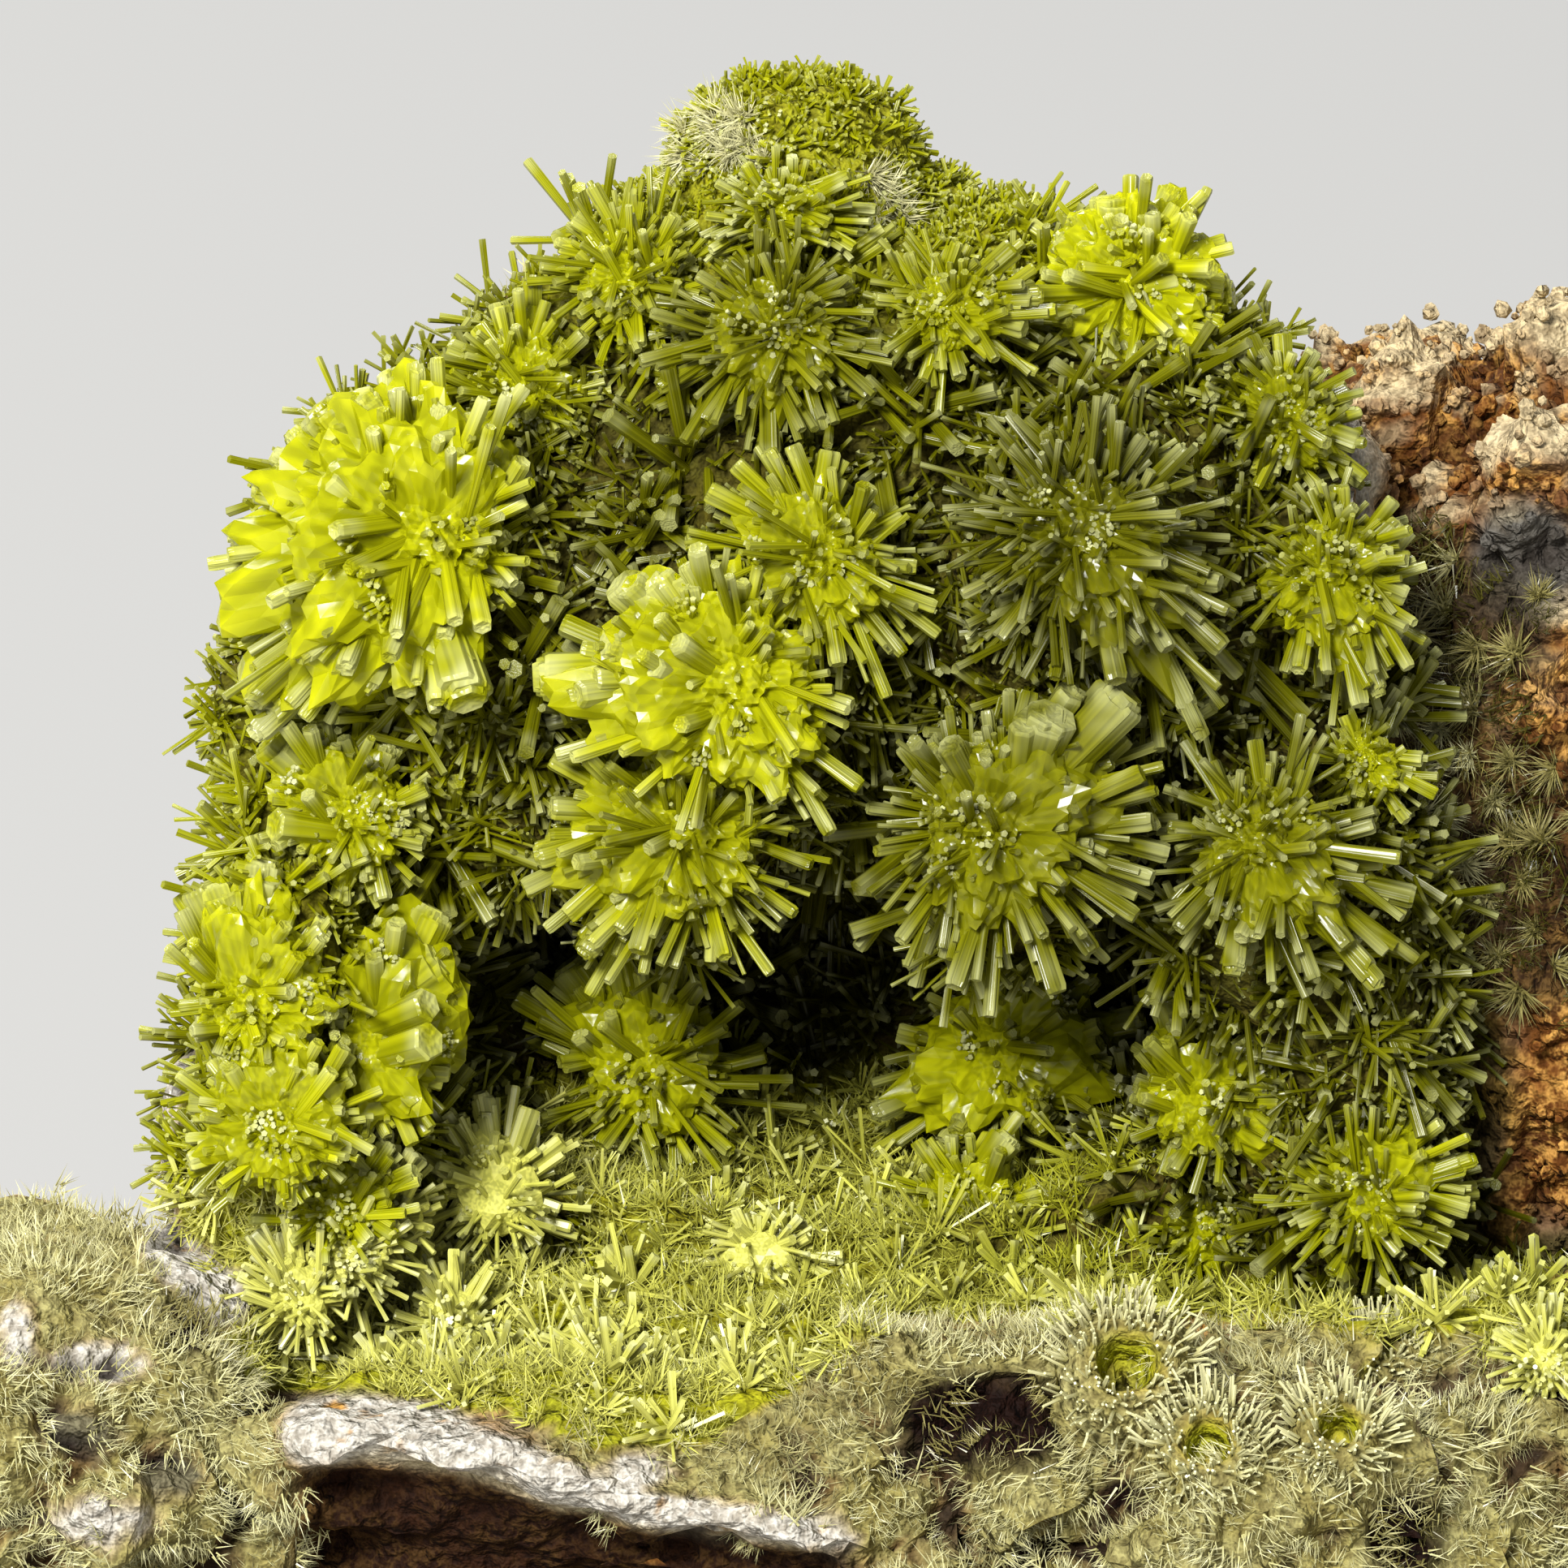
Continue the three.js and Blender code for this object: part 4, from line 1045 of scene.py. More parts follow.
def grain_cluster(name, chance, count):
    """Rounded grains that sit close together, like coarse sugar."""
    work = bmesh.new()
    for _ in range(count):
        made = bmesh.ops.create_icosphere(work, subdivisions=1, radius=chance.uniform(0.16, 0.34) * MM)
        shift = Vector((chance.uniform(-1, 1), chance.uniform(-1, 1), chance.uniform(0.0, 0.6)))
        turn = Matrix.Rotation(chance.random() * math.pi, 3, direction_in_cone(chance, math.pi))
        for vertex in made["verts"]:
            vertex.co = turn @ (vertex.co * chance.uniform(0.8, 1.2)) + shift * 0.5 * MM
    mesh = bpy.data.meshes.new(name)
    work.to_mesh(mesh)
    work.free()
    return mesh


def direction_in_cone(chance, spread, least=0.0):
    """A random unit vector within spread of +Z, but not in the middle share least of that cone."""
    height = 1 - (least + (1 - least) * chance.random()) * (1 - math.cos(spread))
    angle = chance.random() * 2 * math.pi
    ring = math.sqrt(max(0.0, 1 - height * height))
    return Vector((ring * math.cos(angle), ring * math.sin(angle), height))


def shape_collection(name, meshes):
    """A collection of template objects, outside the scene, for a tree to pick from."""
    group = bpy.data.collections.new(name)
    for i, mesh in enumerate(meshes):
        group.objects.link(bpy.data.objects.new(f"{name}_{i:02d}", mesh))
    return group


def drop_collection(group):
    for template in list(group.objects):
        bpy.data.objects.remove(template)
    bpy.data.collections.remove(group)


# Places on the face


def plane_point(across, up):
    return RIGHT * across + UP * up


ROCK_NODE = frame["nodes"]["quartz_matrix"]
ROCK_TREE = BVHTree.FromPolygons(
    [v.co / MM for v in ROCK_NODE.data.vertices], [p.vertices for p in ROCK_NODE.data.polygons]
)


def seat(place):
    """Where the line of sight through a place on the face meets the rock, in millimetres."""
    sight = (plane_point(*place) - EYE).normalized()
    point, normal, _, _ = ROCK_TREE.ray_cast(EYE, sight)
    if point is None:
        raise RuntimeError(f"there is no rock at {place}")
    return point, normal, sight


# Templates in the order that a point's kind picks them
BUNDLE_KINDS = (0, 1, 2)
GROOVED_KIND = 3
PLAIN_KIND = 4
SPARKLE_KIND = 5
THIN_KIND = 6
THIN_WIDTH = 0.4  # crystals under this width have no bevel
WIDE_CRYSTAL = 1.0  # from this width on, a main crystal is a bundle
BLADE_WIDTH = 1.5  # and from this width on, a broad blade
BLADE_GROWTH = 1.25  # how much wider a blade is made, as its bundle is flattened one way
REACH_SHARPNESS = 14  # how strongly the nearest main crystals lead the others' reach
FILL_SPREAD = math.pi * 0.62  # how far round from its axis a spray has crystals
FILL_SHARE = 1.15  # crystals wanted between the main ones, for each that its table gives
MOST_TRIES = 30  # directions tried for each crystal that is wanted


def spray_templates(seed):
    chance = random.Random(seed)
    return [
        crystal_bundle("bundle_a", chance, 9, 0.5, 0.1),
        crystal_bundle("bundle_b", chance, 7, 0.62, 0.07),
        crystal_bundle("bundle_c", chance, 12, 0.42, 0.16),
        single_crystal("crystal_grooved", chance, groove=0.08),
        single_crystal("crystal_plain", chance),
        sparkle("sparkle", chance),
        single_crystal("crystal_thin", chance, chamfer=0.0),
    ]


class Grown:
    """A spray worked out in space: its middle, main crystals and how far it reaches each way."""

    def __init__(self, spray):
        point, normal, self.sight = seat(spray.at)
        self.spray = spray
        self.middle = point - self.sight * spray.stand
        scale = (self.middle - EYE).dot(AWAY) / EYE_DISTANCE
        self.mains = []
        for across, up, towards, width in spray.tips:
            line = plane_point(across - spray.at[0], up - spray.at[1]) * scale
            line -= self.sight * line.length * math.tan(math.radians(towards))
            wide = width * (BLADE_GROWTH if width >= BLADE_WIDTH else 1.0)
            self.mains.append((line.normalized(), line.length, wide))
        self.mean = sum(main[1] for main in self.mains) / len(self.mains)
        self.axis = (normal - self.sight + Vector((0, 0, spray.rise))).normalized()
        front = self.mean * spray.front
        wide = [spray.width * 0.6] * 3
        self.guides = [(main[0], main[1]) for main in self.mains] + [(-self.sight, front)] * 3
        self.widths = [main[2] for main in self.mains] + wide

    def reach(self, direction):
        """How far crystals reach in a direction, and how wide they are, from the main ones near it."""
        weights = [math.exp(REACH_SHARPNESS * (direction.dot(guide[0]) - 1)) for guide in self.guides]
        total = sum(weights)
        far = sum(w * guide[1] for w, guide in zip(weights, self.guides)) / total
        return far, sum(w * width for w, width in zip(weights, self.widths)) / total


def spray_crystals(grown, seed):
    """The crystals of a spray as (root, direction, length, width, kind, roll, pale)."""
    chance = random.Random(seed)
    spray = grown.spray
    middle = grown.middle
    crystals = []

    def add(direction, length, width, kind, offset=0.0, pale=None):
        if kind == PLAIN_KIND and width < THIN_WIDTH:
            kind = THIN_KIND
        root = middle + direction_in_cone(chance, math.pi) * offset
        roll = chance.random() * math.pi
        crystals.append((root, direction, length, width, kind, roll, spray.pale if pale is None else pale))

    for direction, length, width in grown.mains:
        wide = width >= WIDE_CRYSTAL
        shift = direction_in_cone(chance, math.pi) * spray.hub * 0.3
        line = direction * length - shift
        kind = chance.choice(BUNDLE_KINDS) if wide else GROOVED_KIND
        roll = chance.random() * math.pi
        crystals.append((middle + shift, line.normalized(), line.length, width, kind, roll, spray.pale))
        # Thinner crystals that grew along with the main one
        for _ in range(4 if wide else 3):
            lean = direction + direction_in_cone(chance, math.pi) * (0.08 + 0.45 * width / length)
            thin = chance.uniform(0.3, 0.6) * min(width, spray.width * 1.2)
            length_here = length * chance.uniform(0.55, 0.96)
            add(lean.normalized(), length_here, thin, PLAIN_KIND, spray.hub * 0.15)
    placed = [main[0] for main in grown.mains]
    spacing = 0.3 * spray.width / grown.mean
    tries = 0
    made = 0
    wanted = round(spray.fill * FILL_SHARE)
    shift = Vector((chance.random(), chance.random(), chance.random())) * 40
    aim = grown.axis.to_track_quat("Z", "Y")
    while made < wanted and tries < MOST_TRIES * wanted:
        tries += 1
        direction = direction_in_cone(chance, FILL_SPREAD)
        direction.rotate(aim)
        if any(direction.dot(other) > 1 - spacing * spacing / 2 for other in placed):
            continue
        sector = mathutils.noise.noise(direction * 2.6 + shift)
        facing = -direction.dot(grown.sight)
        if chance.random() < (0.8 if sector < -0.05 else 0.0) + 0.7 * max(0.0, facing - 0.5):
            continue
        placed.append(direction)
        made += 1
        far, wide = grown.reach(direction)
        length = far * chance.triangular(0.5, 1.05, 0.8) * (0.95 + 0.5 * sector)
        width = max(0.18, wide * chance.triangular(0.22, 0.75, 0.42))
        lean = (direction + direction_in_cone(chance, math.pi) * 0.2).normalized()
        add(lean, length, width, PLAIN_KIND, spray.hub * 0.4)
    towards = (-grown.sight).to_track_quat("Z", "Y")
    # A few crystal ends on the front of the mass, and patches of whitish granular ones
    for _ in range(round(14 * spray.hub)):
        direction = direction_in_cone(chance, math.radians(85), 0.2)
        direction.rotate(towards)
        out = mass_reach(grown, direction) - 0.6
        lean = (direction + direction_in_cone(chance, math.pi) * 0.5).normalized()
        width = chance.uniform(0.18, 0.4)
        roll = chance.random() * math.pi
        long = chance.uniform(0.7, 1.3)
        crystals.append((middle + direction * out, lean, long, width, THIN_KIND, roll, 0.15))
    for _ in range(round(1 + spray.hub * 1.2)):
        direction = direction_in_cone(chance, math.radians(60))
        direction.rotate(towards)
        out = mass_reach(grown, direction)
        size = chance.uniform(0.6, 1.1)
        roll = chance.random() * math.pi
        crystals.append((middle + direction * out, direction, size, size, SPARKLE_KIND, roll, 0.9))
    return crystals


FUSED_WIDTH = 0.75  # main crystals from this width on have grown together with their neighbours


def mass_reach(grown, direction):
    """How far the fused mass of a spray reaches: further towards the eye and along wide blades."""
    facing = max(0.0, -direction.dot(grown.sight))
    far, wide = grown.reach(direction)
    power = (far * (0.4 + 0.22 * min(1.1, wide) + 0.12 * facing * facing) * grown.spray.fused) ** 4
    for main, length, width in grown.mains:
        if width >= FUSED_WIDTH:
            angle = math.acos(max(-1.0, min(1.0, direction.dot(main))))
            spread = 0.16 + 0.5 * width / length
            lobe = length * (0.79 - 0.03 * width) * grown.spray.fused * math.exp(-(angle / spread) ** 2)
            power += lobe ** 4
    return power ** 0.25


def fused_mass(name, grown_sprays, subdivisions):
    """The smooth masses in which the crystals of sprays have grown together."""
    work = bmesh.new()
    along, streak, lines = [], [], []
    for i, grown in enumerate(grown_sprays):
        shift = Vector((7.1 * i, 3.3, 1.7))
        made = bmesh.ops.create_icosphere(work, subdivisions=subdivisions, radius=1)
        for vertex in made["verts"]:
            direction = vertex.co.normalized()
            rough = mathutils.noise.noise(direction * 6 + shift)
            # Each cell of directions is one crystal of the mass, with its own height
            cell = mathutils.noise.voronoi(direction * 7 + shift)[1][0]
            step = mathutils.noise.noise(cell * 31.7)
            out = mass_reach(grown, direction) * (1 + 0.12 * rough + 0.22 * step)
            vertex.co = (grown.middle + direction * out) * MM
            along.append(min(0.75, 0.3 + 0.5 * out / grown.mean))
            # Higher crystals of the mass get more painted highlight
            streak.append(0.5 + step)
            lines.append(direction * 13 + shift)
    mesh = bpy.data.meshes.new(name)
    work.to_mesh(mesh)
    work.free()
    count = len(mesh.vertices)
    spray = grown_sprays[0].spray
    values = (("along", along), ("streak", streak), ("vary", [0.75] * count), ("pale", [0.0] * count),
              ("bright", [spray.bright] * count), ("fused", [1.0] * count))
    for title, numbers in values:
        set_values(mesh, title, numbers)
    set_values(mesh, "lines", lines, "FLOAT_VECTOR")
    return bpy.data.objects.new(name, mesh)


def spray_points(name, grown_sprays, seed):
    """A mesh of loose points that carry the crystals' places, turns and sizes."""
    rows = []
    for i, grown in enumerate(grown_sprays):
        chance = random.Random(1000 + seed + i)
        for root, direction, length, width, kind, roll, pale in spray_crystals(grown, seed + i):
            turn = direction.to_track_quat("Z", "Y") @ Matrix.Rotation(roll, 3, "Z").to_quaternion()
            # A template's own size is in metres after this, whatever its shape
            rows.append((
                root * MM, tuple(turn.to_euler()), (width * MM, width * MM, length * MM), kind,
                chance.random(), grown.spray.bright, pale,
            ))
    mesh = bpy.data.meshes.new(name)
    mesh.from_pydata([row[0] for row in rows], [], [])
    kinds = ("FLOAT_VECTOR", "FLOAT_VECTOR", "INT", "FLOAT", "FLOAT", "FLOAT")
    titles = ("turn", "measure", "kind", "vary", "bright", "pale")
    for i, (title, kind) in enumerate(zip(titles, kinds), 1):
        set_values(mesh, title, [row[i] for row in rows], kind)
    return mesh


# Masks on the rock's surface


def smooth_step(values, low, high):
    t = np.clip((values - low) / (high - low), 0, 1)
    return t * t * (3 - 2 * t)


def ball(points, at, size):
    """1 inside an ellipsoid, falling to 0 a fifth outside it."""
    away = np.linalg.norm((points - np.array(at)) / np.array(size), axis=1)
    return 1 - smooth_step(away, 0.85, 1.2)


def patches(across, up, wanted):
    """1 in the ellipses given as (across, up, half width, half height), in face places."""
    mask = np.zeros(len(across))
    for x, y, half_width, half_height in wanted:
        away = np.hypot((across - x) / half_width, (up - y) / half_height)
        mask = np.maximum(mask, 1 - smooth_step(away, 0.7, 1.15))
    return mask


def along_edges(across, up, edges):
    """1 along broken lines given as (half width, places)."""
    mask = np.zeros(len(across))
    for half_width, places in edges:
        for (x0, y0), (x1, y1) in zip(places, places[1:]):
            run, rise = x1 - x0, y1 - y0
            t = np.clip(((across - x0) * run + (up - y0) * rise) / (run * run + rise * rise), 0, 1)
            away = np.hypot(across - x0 - t * run, up - y0 - t * rise)
            mask = np.maximum(mask, 1 - smooth_step(away, half_width * 0.7, half_width * 1.1))
    return mask


def inside_outline(across, up, outline):
    inside = np.zeros(len(across), dtype=bool)
    for (x0, y0), (x1, y1) in zip(outline, outline[1:] + outline[:1]):
        crosses = (y0 > up) != (y1 > up)
        inside ^= crosses & (across < (x1 - x0) * (up - y0) / ((y1 - y0) or 1e-9) + x0)
    return inside


def under_lip(across, up):
    """1 on the face below the front lip."""
    below = np.interp(across, LIP_ACROSS, LIP_UP) - up
    sides = smooth_step(across, -18.5, -17.2) * smooth_step(-across, -4.5, -1.5)
    half = np.interp(across, (-13, -5), (1.0, 0.5))
    return smooth_step(below - half, 0.0, 0.4) * sides


class Surface:
    """A mesh's vertices with their places in millimetres, normals and places on the face."""

    def __init__(self, mesh):
        count = len(mesh.vertices)
        places = np.empty(count * 3)
        mesh.vertices.foreach_get("co", places)
        self.points = places.reshape(-1, 3) / MM
        normals = np.empty(count * 3)
        mesh.vertex_normals.foreach_get("vector", normals)
        self.normals = normals.reshape(-1, 3)
        sight = self.points - np.array(EYE)
        scale = EYE_DISTANCE / (sight @ np.array(AWAY))
        self.across = sight @ np.array(RIGHT) * scale
        self.up = sight @ np.array(UP) * scale + EYE_UP
        self.sight = sight / np.linalg.norm(sight, axis=1)[:, None]
        self.facing = -(self.normals * self.sight).sum(axis=1)
        self.front = smooth_step(self.facing, -0.2, 0.1)
        # A patchy value from 0 to 1
        self.patchy = np.array([
            0.5 + 0.5 * mathutils.noise.noise(Vector(point) / PATCH_SIZE) for point in self.points
        ])

    def marked(self, wanted):
        """Patches of the face on what is turned to the viewer."""
        return patches(self.across, self.up, wanted) * self.front

    def crest(self):
        """The rusty crest behind the right wall."""
        x, y, z = self.points.T
        side = x + 0.25 * y
        upper = smooth_step(side, 20.5, 22.5) * smooth_step(z, 34, 37) * smooth_step(y, -6, -3)
        return np.maximum(smooth_step(side, 25.0, 27.5) * smooth_step(z, 11, 14), upper)


def sunken(mesh, points, normals, rounds=16):
    """How far each vertex lies under its smoothed surroundings, in millimetres: crevices are
    positive, knobs negative."""
    count = len(points)
    edges = np.empty(len(mesh.edges) * 2, dtype=np.int32)
    mesh.edges.foreach_get("vertices", edges)
    first, second = edges.reshape(-1, 2).T
    near = np.bincount(first, minlength=count) + np.bincount(second, minlength=count)
    smoothed = points
    for _ in range(rounds):
        sums = [
            np.bincount(first, axis[second], count) + np.bincount(second, axis[first], count)
            for axis in smoothed.T
        ]
        smoothed = np.stack(sums, axis=1) / np.maximum(near, 1)[:, None]
    return ((smoothed - points) * normals).sum(axis=1)


def iron_mask(surface):
    """Where iron has stained the rock."""
    y = surface.points[:, 1]
    under = under_lip(surface.across, surface.up) * surface.front * smooth_step(-y, 6, 8)
    back = 0.8 * smooth_step(y, 6, 12) * smooth_step(surface.patchy, 0.45, 0.6)
    rust = surface.marked(RUST_PATCHES)
    return np.clip(np.maximum.reduce([surface.crest(), under, back, rust]), 0, 1)


def lumpy_mask(surface):
    """How lumpy the relief is: grainy on the crest, knobbly on the feet."""
    x, y, z = surface.points.T
    right = smooth_step(x, 0.5, 3) * smooth_step(-y, 8, 12)
    left = smooth_step(-x, 19, 22) * smooth_step(-z, -15, -13)
    feet = np.maximum(right, left) * smooth_step(-z, -14, -12)
    return np.clip(np.maximum(1.6 * surface.crest(), 1.8 * feet), 0, 1.8)


def carve_cavities(mesh):
    """Push the rock away from the eye in its dark cavities and in the craters."""
    surface = Surface(mesh)
    depth = np.zeros(len(surface.points))
    near = smooth_step(surface.facing, 0.0, 0.3) * smooth_step(-surface.points[:, 1], 6, 9)
    for x, y, half_width, half_height, deep in CAVITIES:
        away = np.hypot((surface.across - x) / half_width, (surface.up - y) / half_height)
        depth = np.maximum(depth, deep * (1 - smooth_step(away, 0.3, 1.0)))
    for x, y, radius in CRATERS:
        away = np.hypot(surface.across - x, surface.up - y)
        depth += 1.4 * (1 - smooth_step(away, radius * 0.95, radius * 1.3))
    depth += 4.0 * under_lip(surface.across, surface.up)
    lip = along_edges(surface.across, surface.up, WHITE_EDGES[:3])
    depth -= 1.3 * lip
    # The left wall is thinner than its solid where its edge shows against the background
    wall = ball(surface.points, (-23.0, 0.0, 26.0), (3.6, 14.0, 7.0))
    inward = np.outer(2.2 * wall, (1.0, 0.0, 0.0))
    moved = (surface.points + surface.sight * (depth * near)[:, None] + inward) * MM
    mesh.vertices.foreach_set("co", moved.ravel())
    mesh.update()


def paint_rock(mesh):
    """Store the masks that the scatters and the rock's material read."""
    surface = Surface(mesh)
    across, up, patchy = surface.across, surface.up, surface.patchy
    x, y, z = surface.points.T
    rising = surface.normals[:, 2]
    front = surface.front
    crest = surface.crest()
    outlined = inside_outline(across, up, CRYSTAL_OUTLINE).astype(float)
    flat = smooth_step(rising, 0.3, 0.65) * smooth_step(-z, -FLOOR_TOP - 2, -FLOOR_TOP)
    low_near = smooth_step(-z, -31, -29) * smooth_step(-y, -17, -15)
    near = np.maximum(smooth_step(-y, -12, -9), low_near)
    grown = outlined * smooth_step(surface.facing, -0.3, 0.0) * near * (1 - crest)
    limit = np.interp(across, FLOOR_ACROSS, FLOOR_UP)
    low = smooth_step(limit - up, -0.4, 0.4)
    floor = grown * np.maximum(flat, low)
    summit = np.maximum(smooth_step(z, 48.6, 49.6), surface.marked(SUMMIT_SIDE))
    face = grown * (1 - np.maximum(flat, low)) * (1 - summit)
    hollow = sunken(mesh, surface.points, surface.normals)
    crevice = smooth_step(hollow, 0.08, 0.4)
    knob = smooth_step(-hollow, 0.0, 0.35)
    tops = crest * knob * smooth_step(rising + 0.6 * (patchy - 0.5), -0.1, 0.6)
    white = np.clip(np.maximum.reduce([
        along_edges(across, up, WHITE_EDGES) * front * smooth_step(-y, -8, -4),
        surface.marked(WHITE_PATCHES) * smooth_step(-y, 4, 8),
        0.8 * tops * smooth_step(z, 31, 38),
        0.7 * smooth_step(patchy, 0.56, 0.66) * (1 - front) * knob * (1 - crest),
    ]), 0, 1)
    dark = patches(across, up, [spot[:4] for spot in CAVITIES]) * smooth_step(-y, 8, 12)
    pits = [(at, high, radius * 0.75, radius * 0.6) for at, high, radius in CRATERS]
    pits = patches(across, up, pits) * smooth_step(-y, 8, 12)
    under = under_lip(across, up) * smooth_step(-y, 6, 8) * front * (1 - white)
    smoke = surface.marked(SMOKE_PATCHES)
    foot = np.maximum(
        smooth_step(across, -10.0, -8.0) * smooth_step(-y, 6, 10) * smooth_step(-z, -16, -14),
        ball(surface.points, (-27, -12, 9), (10.8, 12, 11)),
    )
    foot = foot * front * (1 - floor) * (1 - face)
    # Crevices of the feet: bare of needles, and painted shade on the rock there
    bare_shaded_crevice = 0.9 * crevice * foot
    needles = foot * (1 - white) * (1 - pits) * (1 - under) * (1 - 0.7 * smoke) * (1 - bare_shaded_crevice)
    wall = surface.marked(WALL_TUFTS) * smooth_step(x, 18, 19) * (1 - face)
    # Sides, back and top carry patches of thin druse
    behind = (1 - front) * smooth_step(patchy, 0.52, 0.6) * (1 - crest) * smooth_step(z, 2, 5)
    # Painted shade on the rock in the gaps between the sprays
    gaps = 0.6 * face * (1 - smooth_step(up, 44, 50))
    # Painted shade in the crevices of the crest
    rusty = 0.6 * crevice * crest
    pale_top = surface.marked(PALE_SUMMIT)
    green = np.maximum.reduce([grown * 0.9, 0.7 * pits, 0.9 * summit]) * (1 - dark) * (1 - white)
    # Nothing grows close over the sawn base
    clear = smooth_step(z, 1.0, 1.8)
    spots = 1 - patches(across, up, CLEAR_SPOTS)
    grains = np.maximum(crest, 0.12 * smooth_step(patchy, 0.4, 0.5) * (1 - front))

    # How bright the crystals are painted in each place: painted light on the rims, on the front and left
    # of the floor and on the knobs of the feet, painted shade further back in the hollow, on the floor's
    # right and in the cavities; the later ones over the earlier ones
    rim = np.maximum(smooth_step(-across, 8, 18), smooth_step(up, 42, 50))
    shade = smooth_step(y, -6, 4) * (1 - smooth_step(z, 38, 46))
    bright = 0.3 + 0.6 * rim - 0.25 * shade
    shaded_side = smooth_step(across, 3, 12) * smooth_step(up, 9, 11)
    # Painted light to the front and left of the floor, painted shade on its right side
    on_floor = 0.55 + 0.45 * smooth_step(-y, 2, 14) - 0.45 * shaded_side
    # Painted light on the knobs of the feet, patchy besides
    on_foot = 0.45 + 0.4 * smooth_step(patchy, 0.3, 0.7) + 0.5 * knob
    for where, level in (
        (floor > 0.1, on_floor + 0.5 * smooth_step(-across, 4, 10)),
        ((foot > 0.1) & (floor < 0.1), on_foot * (1 - 0.9 * dark)),
        (wall > 0.1, 0.1 + 0.9 * smooth_step(patchy, 0.4, 0.65)),
        (pale_top > 0.2, 1.0),
        (pits > 0.3, 1.0),
    ):
        bright = np.where(where, level, bright)
    # And how whitish their ends are
    pale = np.where(floor > 0.1, 0.5 + 0.5 * smooth_step(-y, 4, 14) * smooth_step(-x, -8, 4), 0.35)
    pale = np.where(wall > 0.1, 0.5 + 0.5 * smooth_step(patchy, 0.4, 0.6), pale)
    pale = np.where(pale_top > 0.2, 0.95, pale)
    masks = {
        "white": white,
        "druse": np.maximum(needles, 0.15 * wall),
        "smoke": smoke,
        # The dark mask is painted shade in the cavities, under the lip, in crevices and in the gaps between
        # sprays; it also darkens the right wall's rock
        "dark": np.maximum.reduce([dark, 0.92 * under, 0.85 * wall, gaps, bare_shaded_crevice, rusty]),
        "green": green,
        "bright": bright,
        "pale": pale * (1 - dark),
        "face_mask": face * (1 - white) * clear * spots,
        "floor_mask": floor * (1 - white) * (1 - dark) * clear,
        "needle_mask": needles * clear,
        "summit_mask": summit,
        "pale_summit_mask": pale_top * (y < 6),
        "wall_mask": wall,
        "back_mask": behind,
        "grain_mask": grains * smooth_step(z, 2, 5) * (1 - np.maximum(wall, face)),
    }
    for name, values in masks.items():
        set_values(mesh, name, np.clip(values, 0, 1))


def crater_meshes(name, chance):
    """Little craters with a lined bowl, and a collar of needles that stand out from each."""
    work = bmesh.new()
    bowl_values = []
    needles = []
    for across, up, radius in CRATERS:
        around = [
            seat((across + 1.05 * radius * math.cos(a), up + 0.9 * radius * math.sin(a)))
            for a in (math.pi * i / 4 for i in range(8))
        ]
        middle = sum((hit[0] for hit in around), Vector()) / len(around)
        facing = sum((hit[1] for hit in around), Vector()) / len(around)
        axis = (facing + Vector((0, -0.9, 0.9))).normalized()
        nearest = min(around, key=lambda hit: (hit[0] - EYE).length)[0]
        middle += axis * (0.25 * radius + max(0.0, min(0.8 * radius, (nearest - middle).dot(axis))))
        turn = axis.to_track_quat("Z", "Y").to_matrix()
        rings = []
        for out, high, lining in CRATER_SECTION:
            ring = []
            for i in range(CRATER_STEPS):
                angle = 2 * math.pi * i / CRATER_STEPS
                spot = Vector((math.cos(angle), math.sin(angle), high * 2)) * 1.7
                rough = 1 + 0.16 * mathutils.noise.noise(spot + middle)
                place = Vector((math.cos(angle) * out, math.sin(angle) * out, high)) * radius * rough
                ring.append(work.verts.new((middle + turn @ place) * MM))
                bowl_values.append(lining)
            rings.append(ring)
        for low, high in zip(rings, rings[1:]):
            for i in range(CRATER_STEPS):
                j = (i + 1) % CRATER_STEPS
                work.faces.new((low[i], low[j], high[j], high[i]))
        for _ in range(round(CRATER_NEEDLES * radius)):
            angle = chance.random() * 2 * math.pi
            out = chance.uniform(0.62, 1.4)
            side = Vector((math.cos(angle), math.sin(angle), 0))
            foot = side * out * radius + Vector((0, 0, (0.36 - 0.8 * max(0.0, out - 0.85)) * radius))
            lean = (side * (0.1 + 1.5 * max(0.0, out - 0.7)) + Vector((0, 0, 1))).normalized()
            lean = (lean + direction_in_cone(chance, math.pi) * 0.3).normalized()
            width = chance.uniform(0.08, 0.17)
            long = chance.uniform(0.5, 1.0) * (0.35 + 0.65 * out)
            needles.append((middle + turn @ foot, turn @ lean, long, width, width * 0.8))
    bowls = bpy.data.meshes.new(name + "_bowls")
    work.to_mesh(bowls)
    work.free()
    bowls.shade_smooth()
    values = np.array(bowl_values, dtype=float)
    set_values(bowls, "green", values * 0.9)
    set_values(bowls, "bright", 0.6 + 0.4 * values)
    set_values(bowls, "druse", 1 - values)
    collar = crystal_group(name + "_needles", needles, chance, prism_data(4), MM, tinted=True)
    set_values(collar, "bright", [0.95] * len(collar.vertices))
    set_values(collar, "pale", [0.5] * len(collar.vertices))
    return bowls, collar


def joined_copy(source):
    """A copy of a node's mesh with its loose triangles merged."""
    work = bmesh.new()
    work.from_mesh(source.data)
    bmesh.ops.remove_doubles(work, verts=work.verts, dist=0.001 * MM)
    mesh = bpy.data.meshes.new(source.name + "_copy")
    work.to_mesh(mesh)
    work.free()
    return mesh


